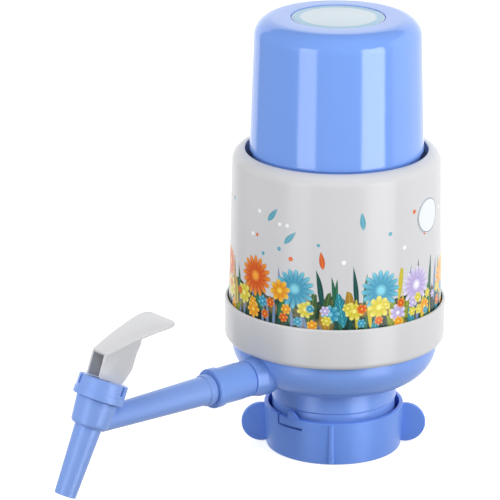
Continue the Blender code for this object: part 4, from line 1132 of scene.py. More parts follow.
@dataclass
class Housing:
    """The grey sleeve with its print and sticker, and the band that clamps it."""

    shop: Workshop
    top: float = 0.1545
    foot: float = 0.0615
    mouth_radius: float = 0.0452
    top_radius: float = 0.0515
    foot_radius: float = 0.0533
    shoulder: float = 0.0060
    wall: float = 0.0018
    guide_radius: float = 0.0468
    guide_foot: float = 0.1343
    edge: float = 0.0004
    seam_azimuth: float = math.radians(140.0)
    sticker_radius: float = 0.0088
    sticker_azimuth: float = math.radians(18.0)
    sticker_height: float = 0.12865
    sticker_lift: float = 0.00005
    sticker_thickness: float = 0.00035
    sticker_sides: int = 64
    sticker_cuts: int = 3
    band_top: float = 0.0780
    band_foot: float = 0.0570
    band_radius: float = 0.0550
    band_bore: float = 0.0536
    band_inner: float = 0.0516
    band_foot_rounding: float = 0.0030
    band_wall: float = 0.0014
    band_slope: float = 0.0020
    bowl_rim: float = 0.0612
    sides: int = 192

    def build(self) -> None:
        """Build sleeve, sticker and band."""
        self.build_sleeve()
        self.build_sticker()
        self.build_band()

    def radius_at(self, height: float) -> float:
        """Return the sleeve's outer radius at a height."""
        share = (self.top - height) / (self.top - self.foot)
        return self.top_radius + (self.foot_radius - self.top_radius) * share

    def build_sleeve(self) -> None:
        """Turn the sleeve, with its rolled rim and guide skirt, and unroll it for the print."""
        under = self.top - self.wall
        corners = [
            Corner(self.mouth_radius, self.top, self.edge),
            Corner(self.top_radius, self.top, self.shoulder),
            Corner(self.foot_radius, self.foot, self.edge),
            Corner(self.foot_radius - self.wall, self.foot, self.edge),
            Corner(self.top_radius - self.wall, under, self.shoulder - self.wall),
            Corner(self.guide_radius, under, self.edge),
            Corner(self.guide_radius, self.guide_foot, self.edge),
            Corner(self.mouth_radius, self.guide_foot, self.edge),
        ]
        finish = self.shop.finishes.printed
        sleeve = self.shop.lathe.turn("outer_sleeve", corners, self.sides, finish, steps=10)
        self.store_wrap(sleeve)
        hand_over(sleeve, Body.BASE, Slot.GREY, finish, "housing_sleeve")

    def store_wrap(self, sleeve: Thing) -> None:
        """Write the UV map of the unrolled sleeve in metres, with its seam at the back."""
        mesh = sleeve.data
        layer = mesh.uv_layers.new(name="wrap")
        for polygon in mesh.polygons:
            middle = self.unrolled(polygon.center)
            for index in polygon.loop_indices:
                spot = mesh.vertices[mesh.loops[index].vertex_index].co
                angle = self.unrolled(spot)
                angle += math.tau * round((middle - angle) / math.tau)
                layer.data[index].uv = (angle * self.foot_radius, spot.z)

    def unrolled(self, spot: Vector) -> float:
        """Return the angle of a point past the seam, from 0 to a full turn."""
        return (math.atan2(spot.y, spot.x) - self.seam_azimuth) % math.tau

    def build_sticker(self) -> None:
        """Lay a thin round film on the sleeve's curve."""
        mesh = bpy.data.meshes.new("side_badge")
        with edited(mesh) as shape:
            bmesh.ops.create_circle(
                shape, cap_ends=True, cap_tris=True, segments=self.sticker_sides, radius=self.sticker_radius)
            bmesh.ops.subdivide_edges(shape, edges=shape.edges, cuts=self.sticker_cuts, use_grid_fill=True)
        sticker = new_object("side_badge", mesh)
        store_face_map(sticker)
        for vertex in mesh.vertices:
            height = self.sticker_height + vertex.co.y
            radius = self.radius_at(height) + self.sticker_lift
            angle = self.sticker_azimuth + vertex.co.x / radius
            vertex.co = (radius * math.cos(angle), radius * math.sin(angle), height)
        film = sticker.modifiers.new("film", "SOLIDIFY")
        film.thickness = self.sticker_thickness
        film.offset = 1.0
        finish = self.shop.finishes.sticker
        smoothed(baked(sticker))
        hand_over(sticker, Body.BASE, Slot.FILM, finish, "side_sticker")

    def build_band(self) -> None:
        """Turn the band, with a rounded foot and a softened top edge."""
        corners = [
            Corner(self.band_bore, self.band_top, self.edge / 2),
            Corner(self.band_radius, self.band_top, 2 * self.edge),
            Corner(self.band_radius, self.band_foot, self.band_foot_rounding),
            Corner(self.band_inner, self.band_foot, self.edge / 2),
            Corner(self.band_inner, self.bowl_rim - self.band_wall - self.band_slope),
            Corner(self.band_bore, self.bowl_rim - self.band_wall),
        ]
        finish = self.shop.finishes.grey
        band = self.shop.lathe.turn("clamping_band", corners, self.sides, finish, steps=8)
        hand_over(band, Body.BASE, Slot.GREY, finish, "lower_band")


SPOUT_HEIGHT = 0.0466
SPOUT_AXIS = Matrix.Translation((0, 0, SPOUT_HEIGHT)) @ Matrix.Rotation(math.pi / 2, 4, "X")


@dataclass
class BaseMoulding:
    """The blue bowl with its neck and spout socket, the riser and the jug's gasket."""

    shop: Workshop
    bowl_radius: float = 0.0513
    rim: float = 0.0612
    curve_radius: float = 0.0190
    wall: float = 0.0022
    ledge_radius: float = 0.0467
    ledge_height: float = 0.0562
    ledge_slope: float = 0.0040
    neck_top: float = 0.0350
    neck_radius: float = 0.0313
    neck_lower_radius: float = 0.0308
    neck_step: float = 0.0259
    groove: float = 0.0004
    bowl_bottom: float = 0.0362
    bowl_lip: float = 0.0007
    neck_bore: float = 0.0284
    neck_foot: float = 0.0025
    neck_ceiling: float = 0.0325
    bead_height: float = 0.0020
    bead_rise: float = 0.0014
    riser_hole: float = 0.0053
    vent_radius: float = 0.0020
    vent_circle: float = 0.0120
    vent_count: int = 4
    vent_turn: float = math.radians(40.0)
    socket_face: float = 0.0810
    socket_neck_radius: float = 0.0082
    barrel_radius: float = 0.0092
    barrel_length: float = 0.0182
    barrel_step: float = 0.0002
    barrel_step_place: float = 0.0628
    barrel_groove: float = 0.0007
    root_neck_radius: float = 0.0089
    socket_root_radius: float = 0.0102
    socket_inner: float = 0.0451
    flange_radius: float = 0.0099
    flange_length: float = 0.0050
    flange_edge: float = 0.0009
    bore_radius: float = 0.0072
    bore_floor: float = 0.0570
    bore_end: float = 0.0369
    riser_radius: float = 0.0050
    riser_bore: float = 0.0035
    riser_bend: float = 0.0120
    riser_foot: float = 0.0080
    gasket_inner: float = 0.0181
    gasket_outer: float = 0.0281
    gasket_foot: float = 0.0292
    gasket_top: float = 0.0322
    edge: float = 0.0003
    overrun: float = 0.0020
    sides: int = 160
    socket_sides: int = 96
    vent_sides: int = 32

    def build(self) -> None:
        """Build bowl, riser and gasket."""
        self.build_bowl()
        self.build_riser()
        self.build_gasket()

    def bowl_corners(self) -> list[Corner]:
        """Return the outline of bowl and neck, down the outside and up the inside."""
        lip = self.neck_lower_radius + self.bead_rise
        bead_top = self.neck_foot + self.bead_height
        curve_foot = self.bowl_radius - self.curve_radius
        inner_curve = self.curve_radius - self.wall
        lip_foot = self.bowl_bottom - self.bowl_lip
        return [
            Corner(self.bowl_radius, self.rim, self.edge),
            Corner(self.bowl_radius, self.bowl_bottom, self.curve_radius),
            Corner(curve_foot - self.edge, self.bowl_bottom, self.edge / 2),
            Corner(curve_foot - self.edge, lip_foot, self.edge / 2),
            Corner(self.neck_radius - self.groove, lip_foot, self.edge / 2),
            Corner(self.neck_radius - self.groove, lip_foot - self.groove, self.edge / 2),
            Corner(self.neck_radius, lip_foot - 2 * self.groove, self.edge / 2),
            Corner(self.neck_radius, self.neck_step, self.edge / 2),
            Corner(self.neck_lower_radius - self.groove, self.neck_step, self.edge / 2),
            Corner(self.neck_lower_radius - self.groove, self.neck_step - self.groove, self.edge / 2),
            Corner(self.neck_lower_radius, self.neck_step - 2 * self.groove, self.edge / 2),
            Corner(self.neck_lower_radius, bead_top + self.bead_rise),
            Corner(lip, bead_top, self.edge),
            Corner(lip, self.neck_foot, self.edge),
            Corner(self.neck_bore, self.neck_foot, self.edge),
            Corner(self.neck_bore, self.neck_ceiling, self.edge),
            Corner(self.riser_hole, self.neck_ceiling, self.edge / 2),
            Corner(self.riser_hole, self.neck_top),
            Corner(self.neck_bore - self.wall, self.neck_top),
            Corner(self.neck_bore, self.bowl_bottom + self.wall, self.edge),
            Corner(self.bowl_radius - self.wall, self.bowl_bottom + self.wall, inner_curve),
            Corner(self.bowl_radius - self.wall, self.ledge_height - self.ledge_slope),
            Corner(self.ledge_radius, self.ledge_height, self.edge / 2),
            Corner(self.bowl_radius - self.wall, self.ledge_height),
            Corner(self.bowl_radius - self.wall, self.rim, self.edge),
        ]

    def build_bowl(self) -> None:
        """Turn the bowl, join the socket and cut its bore and the neck's vents."""
        finish = self.shop.finishes.blue
        lathe = self.shop.lathe
        bowl = lathe.turn("bowl_and_neck", self.bowl_corners(), self.sides, finish, steps=16)
        corners = bar(self.vent_radius, self.neck_top + self.overrun, self.neck_ceiling - self.overrun)
        vent = lathe.turn("vent", corners, self.vent_sides, finish)
        placed(vent, Matrix.Translation((self.vent_circle, 0, 0)))
        self.shop.ring.spread(vent, self.vent_count, self.vent_turn, finish)
        joined(bowl, vent, Join.CUT)
        flange_start = self.socket_face - self.flange_length
        barrel_start = flange_start - self.barrel_length
        barrel_end_radius = self.barrel_radius - self.barrel_step
        root_start = barrel_start - self.barrel_groove
        socket = lathe.turn("socket", [
            Corner(0, self.socket_face),
            Corner(self.flange_radius, self.socket_face, self.flange_edge),
            Corner(self.flange_radius, flange_start, self.flange_edge),
            Corner(self.barrel_radius, flange_start, 2 * self.edge),
            Corner(self.barrel_radius, self.barrel_step_place, self.edge / 2),
            Corner(barrel_end_radius, self.barrel_step_place - self.barrel_step, self.edge / 2),
            Corner(barrel_end_radius, barrel_start, self.edge),
            Corner(self.socket_neck_radius, barrel_start, self.edge / 2),
            Corner(self.socket_neck_radius, root_start, self.edge / 2),
            Corner(self.root_neck_radius, root_start, self.edge),
            Corner(self.socket_root_radius, self.bowl_radius, self.edge),
            Corner(self.socket_root_radius, self.socket_inner),
            Corner(0, self.socket_inner),
        ], self.socket_sides, finish)
        joined(bowl, placed(socket, SPOUT_AXIS), Join.FUSE)
        bore = lathe.turn("bore", [
            Corner(0, self.socket_face + self.overrun),
            Corner(self.bore_radius, self.socket_face + self.overrun),
            Corner(self.bore_radius, self.bore_floor),
            Corner(self.riser_hole, self.bore_floor),
            Corner(self.riser_hole, self.bore_end),
            Corner(0, self.bore_end),
        ], self.socket_sides, finish)
        joined(bowl, placed(bore, SPOUT_AXIS), Join.CUT)
        hand_over(smoothed(bowl), Body.BASE, Slot.BLUE, finish, "base_bowl")

    def build_riser(self) -> None:
        """Sweep the bent riser and bore it."""
        finish = self.shop.finishes.white
        solids = []
        for radius, overrun in ((self.riser_radius, 0.0), (self.riser_bore, self.overrun)):
            route = [
                (0, 0, self.riser_foot - overrun),
                (0, 0, SPOUT_HEIGHT),
                (0, -self.bore_floor - overrun, SPOUT_HEIGHT),
            ]
            solids.append(self.shop.tube.sweep("riser", route, radius, self.riser_bend, finish))
        riser = joined(solids[0], solids[1], Join.CUT)
        riser.name = "riser_tube"
        hand_over(smoothed(riser), Body.BASE, Slot.WHITE, finish, "water_riser")

    def build_gasket(self) -> None:
        """Turn the soft ring over the jug's mouth."""
        corners = [
            Corner(self.gasket_inner, self.gasket_top, self.edge),
            Corner(self.gasket_outer, self.gasket_top, self.edge),
            Corner(self.gasket_outer, self.gasket_foot, 2 * self.edge),
            Corner(self.gasket_inner, self.gasket_foot, 2 * self.edge),
        ]
        finish = self.shop.finishes.rubber
        gasket = self.shop.lathe.turn("jug_gasket", corners, self.sides, finish)
        hand_over(gasket, Body.BASE, Slot.RUBBER, finish, "bottle_gasket")


@dataclass
class LockingCollar:
    """The blue collar with its ears, grip rib and latch."""

    shop: Workshop
    height: float = 0.0220
    mouth_radius: float = 0.0330
    top_radius: float = 0.0350
    foot_radius: float = 0.0340
    floor: float = 0.0022
    bevel: float = 0.0006
    bore_radius: float = 0.0284
    lip_radius: float = 0.0311
    lip_foot: float = 0.0062
    lip_top: float = 0.0087
    lip_slope: float = 0.0017
    bead_room: float = 0.0325
    ear_radius: float = 0.0100
    ear_thickness: float = 0.0032
    ear_height: float = 0.0104
    ear_overhang: float = 0.0014
    ears_azimuth: float = math.radians(50.0)
    rib_radius: float = 0.0016
    rib_azimuth: float = math.radians(-43.0)
    slit: float = 0.0012
    tongue_height: float = 0.0042
    latch_start: float = math.radians(-94.0)
    latch_end: float = math.radians(-68.0)
    tooth_start: float = math.radians(-82.6)
    tooth_crest: float = math.radians(-78.5)
    tooth_end: float = math.radians(-70.9)
    tooth_rise: float = 0.0035
    overrun: float = 0.0020
    sides: int = 160
    ear_sides: int = 96
    rib_sides: int = 32
    ramp_steps: int = 8
    slit_steps: int = 12

    def build(self) -> None:
        """Turn the collar and add and cut its details."""
        # The collar wears the darker copy of the blue plastic, as painted shade.
        finish = self.shop.finishes.shade_painted_collar_blue
        lathe = self.shop.lathe
        collar = lathe.turn("collar_ring", [
            Corner(0, self.height),
            Corner(self.top_radius, self.height, self.bevel),
            Corner(self.foot_radius, 0, self.bevel),
            Corner(0, 0),
        ], self.sides, finish)
        corners = bar(self.ear_radius, self.ear_thickness / 2, -self.ear_thickness / 2, self.bevel)
        ear = lathe.turn("ear", corners, self.ear_sides, finish)
        reach = self.top_radius + self.ear_overhang
        placed(ear, Matrix.Translation((reach, 0, self.ear_height)) @ Matrix.Rotation(math.pi / 2, 4, "X"))
        self.shop.ring.spread(ear, 2, self.ears_azimuth, finish)
        joined(collar, ear, Join.FUSE)
        corners = bar(self.rib_radius, self.height - self.bevel, self.bevel, self.bevel)
        rib = lathe.turn("rib", corners, self.rib_sides, finish)
        place = Matrix.Rotation(self.rib_azimuth, 4, "Z") @ Matrix.Translation((self.foot_radius, 0, 0))
        joined(collar, placed(rib, place), Join.FUSE)
        joined(collar, self.tooth(), Join.FUSE)
        slit_top = self.height - self.tongue_height
        slot_turn = self.slit / self.top_radius
        joined(collar, self.wedge(
            self.latch_start + slot_turn / 2, self.latch_end, slit_top - self.slit, slit_top), Join.CUT)
        joined(collar, self.wedge(
            self.latch_start, self.latch_start + slot_turn,
            slit_top - self.slit / 2, self.height + self.overrun), Join.CUT)
        top = self.height + self.tooth_rise + self.overrun
        bore = lathe.turn("collar_bore", [
            Corner(0, top),
            Corner(self.mouth_radius, top),
            Corner(self.mouth_radius, self.lip_top + self.lip_slope, self.bevel),
            Corner(self.lip_radius, self.lip_top, self.bevel / 2),
            Corner(self.lip_radius, self.lip_foot, self.bevel / 2),
            Corner(self.bead_room, self.lip_foot),
            Corner(self.bead_room, self.floor),
            Corner(self.bore_radius, self.floor, self.bevel / 2),
            Corner(self.bore_radius, -self.overrun),
            Corner(0, -self.overrun),
        ], self.sides, finish)
        joined(collar, bore, Join.CUT)
        hand_over(smoothed(collar), Body.COLLAR, Slot.BLUE, finish, "locking_collar")

    def ring_patch(
        self, name: str, stations: Sequence[tuple[float, float, float]], inner: float, outer: float,
    ) -> Thing:
        """Loft a solid along an arc of the ring.

        Args:
            name: The object's name.
            stations: Azimuth, lowest and highest level of each section.
            inner: Inner radius.
            outer: Outer radius.

        Returns:
            The closed solid.
        """
        sections = []
        for angle, low, high in stations:
            corners = ((inner, low), (outer, low), (outer, high), (inner, high))
            sections.append([
                (math.cos(angle) * radius, math.sin(angle) * radius, level) for radius, level in corners])
        return lofted(name, sections)

    def tooth(self) -> Thing:
        """Return the ramp tooth on the latch tongue."""
        low = self.height - self.overrun
        high = self.height + self.tooth_rise
        stations = [(self.tooth_start, low, high), (self.tooth_crest, low, high)]
        for step in range(1, self.ramp_steps + 1):
            share = step / self.ramp_steps
            angle = self.tooth_crest + (self.tooth_end - self.tooth_crest) * share
            eased = share * share * (3 - 2 * share)
            stations.append((angle, low, high - self.tooth_rise * eased))
        inner = self.mouth_radius - self.overrun
        return self.ring_patch("latch_tooth", stations, inner, self.top_radius - self.bevel / 2)

    def wedge(self, start: float, end: float, foot: float, top: float) -> Thing:
        """Return a cutter through the ring's wall between two azimuths and two levels."""
        run = (end - start) / self.slit_steps
        stations = [(start + run * step, foot, top) for step in range(self.slit_steps + 1)]
        inner = self.mouth_radius - self.overrun / 2
        return self.ring_patch("latch_cut", stations, inner, self.top_radius + self.overrun)


TAP_TILT = math.radians(24.5)


@dataclass
class SpoutAndTap:
    """The spout pipe with its tap: body, bonnet nut, stem, pin and lever."""

    shop: Workshop
    pipe_start: float = 0.0813
    pipe_end: float = 0.1548
    pipe_root_radius: float = 0.00715
    pipe_end_radius: float = 0.0057
    pipe_bore: float = 0.0036
    pipe_above_foot: float = 0.0016
    bead_radius: float = 0.0078
    bead_length: float = 0.0044
    bead_edge: float = 0.0010
    plug_radius: float = 0.0069
    plug_tip: float = 0.0573
    groove_radius: float = 0.0053
    groove_place: float = 0.0681
    groove_half: float = 0.0011
    nozzle_length: float = 0.0347
    nozzle_end_radius: float = 0.00535
    nozzle_top_radius: float = 0.00665
    nozzle_bore: float = 0.0040
    body_foot_radius: float = 0.0090
    body_top_radius: float = 0.0103
    body_height: float = 0.0137
    body_shoulder: float = 0.0030
    thread_radius: float = 0.0100
    thread_top: float = 0.0552
    chamber_radius: float = 0.0079
    chamber_floor: float = 0.0374
    seat_top: float = 0.0416
    seat_wall: float = 0.0012
    nut_bore: float = 0.0106
    nut_radius: float = 0.0122
    nut_skirt_radius: float = 0.0126
    nut_foot: float = 0.0487
    nut_skirt_top: float = 0.0521
    nut_ceiling: float = 0.0568
    nut_top: float = 0.0584
    nut_hole: float = 0.0031
    notch_count: int = 3
    notch_turn: float = math.radians(15.0)
    notch_width: float = 0.0018
    notch_depth: float = 0.0010
    notch_height: float = 0.0048
    stem_radius: float = 0.0025
    stem_foot_radius: float = 0.0045
    stem_foot: float = 0.0444
    stem_foot_thickness: float = 0.0020
    pin_height: float = 0.0647
    stem_head_rise: float = 0.0028
    pin_radius: float = 0.0010
    pin_half: float = 0.0046
    lever_width: float = 0.0104
    lever_wall: float = 0.0012
    lever_plate: float = 0.0014
    lever_wing_width: float = 0.0236
    lever_reach: float = 0.0301
    lever_rise: float = 0.0363
    lever_foot_drop: float = 0.0060
    side_shares: tuple[tuple[float, float], ...] = (
        (0.25, 0.0), (0.285, 0.314), (-0.27, 0.709), (-0.33, 0.643),
        (-0.35, 0.587), (-0.33, 0.446), (-0.345, 0.22), (-0.245, 0.0),
    )
    top_shares: tuple[tuple[float, float], ...] = ((0.285, 0.328), (-0.27, 0.73), (-0.75, 1.0))
    root_share: float = 0.55
    wing_start_share: float = 0.86
    wing_end_angle: float = math.radians(82.0)
    wing_fullness: float = 0.25
    lever_edge: float = 0.00018
    lever_edge_steps: int = 2
    lever_edge_angle: float = math.radians(45.0)
    edge: float = 0.0003
    overrun: float = 0.0020
    sides: int = 96
    stem_sides: int = 64
    bore_sides: int = 48
    pin_sides: int = 40
    tap_axis: Matrix = field(init=False)

    def __post_init__(self) -> None:
        """Work out the tap's own axis from where the pipe meets it."""
        meets = self.nozzle_length + self.pipe_above_foot
        out = self.pipe_end + meets * math.sin(TAP_TILT)
        low = SPOUT_HEIGHT - meets * math.cos(TAP_TILT)
        self.tap_axis = Matrix.Translation((0, -out, low)) @ Matrix.Rotation(-TAP_TILT, 4, "X")

    def build(self) -> None:
        """Build the five pieces."""
        self.build_body()
        self.build_nut()
        self.build_stem()
        self.build_lever()

    def build_body(self) -> None:
        """Turn nozzle and body, join the pipe to the body's round side and bore both."""
        # The tap body wears the lighter copy of the blue plastic, as painted light.
        finish = self.shop.finishes.light_painted_spout_blue
        lathe = self.shop.lathe
        body_top = self.nozzle_length + self.body_height
        body = lathe.turn("tap_shell", [
            Corner(self.thread_radius, self.thread_top, self.edge),
            Corner(self.thread_radius, body_top),
            Corner(self.body_top_radius, body_top, self.edge),
            Corner(self.body_foot_radius, self.nozzle_length, self.body_shoulder),
            Corner(self.nozzle_top_radius, self.nozzle_length, self.edge),
            Corner(self.nozzle_end_radius, 0, self.edge),
            Corner(self.nozzle_bore, 0, self.edge),
            Corner(self.nozzle_bore, self.seat_top, self.edge),
            Corner(self.nozzle_bore + self.seat_wall, self.seat_top, self.edge),
            Corner(self.nozzle_bore + self.seat_wall, self.chamber_floor),
            Corner(self.chamber_radius, self.chamber_floor, self.edge),
            Corner(self.chamber_radius, self.thread_top, self.edge),
        ], self.sides, finish)
        placed(body, self.tap_axis)
        bead_end = self.pipe_start + self.bead_length
        pipe = lathe.turn("pipe", [
            Corner(0, self.pipe_end),
            Corner(self.pipe_end_radius, self.pipe_end),
            Corner(self.pipe_root_radius, bead_end, self.edge),
            Corner(self.bead_radius, bead_end - self.bead_edge / 2, self.bead_edge),
            Corner(self.bead_radius, self.pipe_start, self.edge),
            Corner(self.plug_radius, self.pipe_start),
            Corner(self.plug_radius, self.groove_place + self.groove_half),
            Corner(self.groove_radius, self.groove_place + self.groove_half),
            Corner(self.groove_radius, self.groove_place - self.groove_half),
            Corner(self.plug_radius, self.groove_place - self.groove_half),
            Corner(self.plug_radius, self.plug_tip, self.bead_edge),
            Corner(0, self.plug_tip),
        ], self.sides, finish)
        placed(pipe, SPOUT_AXIS)
        wide = 2 * self.body_top_radius
        face = self.body_foot_radius - self.edge
        trim = flat_solid("pipe_trim", rectangle(wide, -wide, face), self.nozzle_length)
        placed(trim, self.tap_axis @ Matrix.Translation((0, 0, self.nozzle_length / 2)))
        joined(pipe, trim, Join.CUT)
        core = lathe.turn("pipe_core", [
            Corner(0, self.thread_top),
            Corner(self.body_top_radius - self.edge, self.thread_top),
            Corner(self.body_top_radius - self.edge, body_top),
            Corner(face, self.nozzle_length - self.edge / 2, self.body_shoulder),
            Corner(0, self.nozzle_length - self.edge / 2),
        ], self.sides, finish)
        joined(pipe, placed(core, self.tap_axis), Join.CUT)
        joined(body, pipe, Join.FUSE)
        bore_end = self.pipe_end - (self.nozzle_bore + self.seat_wall + self.pipe_bore) / math.cos(TAP_TILT)
        corners = bar(self.pipe_bore, bore_end, self.plug_tip - self.overrun)
        bore = lathe.turn("pipe_bore", corners, self.bore_sides, finish)
        joined(body, placed(bore, SPOUT_AXIS), Join.CUT)
        hand_over(smoothed(body), Body.SPOUT, Slot.BLUE, finish, "tap_body")

    def build_nut(self) -> None:
        """Turn the nut with its stepped skirt and cut the ring of grip notches."""
        # The nut wears the lighter copy of the blue plastic, as painted light.
        finish = self.shop.finishes.light_painted_spout_blue
        nut = self.shop.lathe.turn("nut_shell", [
            Corner(self.nut_hole, self.nut_top, self.edge / 2),
            Corner(self.nut_radius, self.nut_top, 2 * self.edge),
            Corner(self.nut_radius, self.nut_skirt_top, self.edge / 2),
            Corner(self.nut_skirt_radius, self.nut_skirt_top, self.edge / 2),
            Corner(self.nut_skirt_radius, self.nut_foot, self.edge),
            Corner(self.nut_bore, self.nut_foot, self.edge),
            Corner(self.nut_bore, self.nut_ceiling, self.edge),
            Corner(self.nut_hole, self.nut_ceiling),
        ], self.sides, finish)
        outline = rectangle(self.notch_depth, -self.notch_width / 2, self.notch_width / 2)
        notch = flat_solid("notch", outline, 2 * self.notch_height)
        placed(notch, Matrix.Translation((self.nut_radius, 0, self.nut_top)))
        self.shop.ring.spread(notch, self.notch_count, self.notch_turn, finish)
        joined(nut, notch, Join.CUT)
        placed(nut, self.tap_axis)
        hand_over(smoothed(nut), Body.SPOUT, Slot.BLUE, finish, "bonnet_nut")

    def build_stem(self) -> None:
        """Turn the stem, cross-drill it and make the pin."""
        finishes = self.shop.finishes
        lathe = self.shop.lathe
        foot_top = self.stem_foot + self.stem_foot_thickness
        stem = lathe.turn("stem_rod", [
            Corner(0, self.pin_height + self.stem_head_rise),
            Corner(self.stem_radius, self.pin_height + self.stem_head_rise, 2 * self.edge),
            Corner(self.stem_radius, foot_top),
            Corner(self.stem_foot_radius, foot_top, self.edge),
            Corner(self.stem_foot_radius, self.stem_foot, self.edge),
            Corner(0, self.stem_foot),
        ], self.stem_sides, finishes.white)
        across = Matrix.Translation((0, 0, self.pin_height)) @ Matrix.Rotation(math.pi / 2, 4, "Y")
        solids = []
        for name, radius, half in (
            ("pin_hole", self.pin_radius + self.edge, self.lever_width),
            ("hinge_pin", self.pin_radius, self.pin_half),
        ):
            rod = lathe.turn(name, bar(radius, half, -half, self.edge), self.pin_sides, finishes.steel)
            solids.append(placed(rod, across))
        joined(stem, solids[0], Join.CUT)
        placed(stem, self.tap_axis)
        placed(solids[1], self.tap_axis)
        hand_over(smoothed(stem), Body.STEM, Slot.WHITE, finishes.white, "tap_stem")
        hand_over(solids[1], Body.STEM, Slot.STEEL, finishes.steel, "lever_pin")

    def lever_point(self, pair: tuple[float, float]) -> tuple[float, float]:
        """Return (toward the pump, up) of a point of the lever, from its pin."""
        return (-pair[0] * self.lever_reach, pair[1] * self.lever_rise - self.lever_foot_drop)

    def lever_top(self, travel: float) -> Vector:
        """Return a point of the lever's top surface, on a parabola through three points.

        Args:
            travel: Share of the run from the lip to the wing's end.

        Returns:
            The point as (toward the pump, up).
        """
        lip, root, tip = (Vector(self.lever_point(pair)) for pair in self.top_shares)
        middle = self.root_share
        lip_part = (travel - middle) * (travel - 1) / middle
        root_part = travel * (travel - 1) / (middle * (middle - 1))
        tip_part = travel * (travel - middle) / (1 - middle)
        return lip * lip_part + root * root_part + tip * tip_part

    def lever_stations(self) -> list[tuple[float, float]]:
        """Return (share of the run, half width): a straight flare, then a round end."""
        start = self.lever_width / 2 + self.edge / 2
        wide = self.lever_wing_width / 2
        flare_steps = 20
        end_steps = 12
        stations = []
        for step in range(flare_steps + 1):
            share = step / flare_steps
            stations.append((share * self.wing_start_share, start + (wide - start) * share))
        for step in range(1, end_steps + 1):
            angle = self.wing_end_angle * step / end_steps
            travel = self.wing_start_share + (1 - self.wing_start_share) * math.sin(angle)
            stations.append((travel, wide * math.cos(angle) ** self.wing_fullness))
        return stations

    def build_lever(self) -> None:
        """Loft the lever's plate, join its two side walls and soften all its edges."""
        sections = []
        small = self.lever_plate / self.lever_reach
        for travel, half_width in self.lever_stations():
            top = self.lever_top(travel)
            slope = (self.lever_top(travel + small) - self.lever_top(travel - small)).normalized()
            under = top + Vector((slope.y, -slope.x)) * self.lever_plate
            corners = ((half_width, top), (-half_width, top), (-half_width, under), (half_width, under))
            sections.append([(x, point.x, point.y) for x, point in corners])
        lever = lofted("lever_shell", sections)
        corners = [Corner(*self.lever_point(pair), rounding=4 * self.edge) for pair in self.side_shares]
        outline = soften(corners, True, 5)
        upright = Matrix.Rotation(math.pi / 2, 4, "Z") @ Matrix.Rotation(math.pi / 2, 4, "X")
        for side in (1, -1):
            wall = flat_solid("side_wall", outline, self.lever_wall)
            offset = side * (self.lever_width - self.lever_wall) / 2
            joined(lever, placed(wall, Matrix.Translation((offset, 0, 0)) @ upright), Join.FUSE)
        bevel = lever.modifiers.new("edge", "BEVEL")
        bevel.width = self.lever_edge
        bevel.segments = self.lever_edge_steps
        bevel.limit_method = "ANGLE"
        bevel.angle_limit = self.lever_edge_angle
        baked(lever)
        placed(lever, self.tap_axis @ Matrix.Translation((0, 0, self.pin_height)))
        hand_over(smoothed(lever), Body.LEVER, Slot.GREY, self.shop.finishes.grey, "tap_lever")


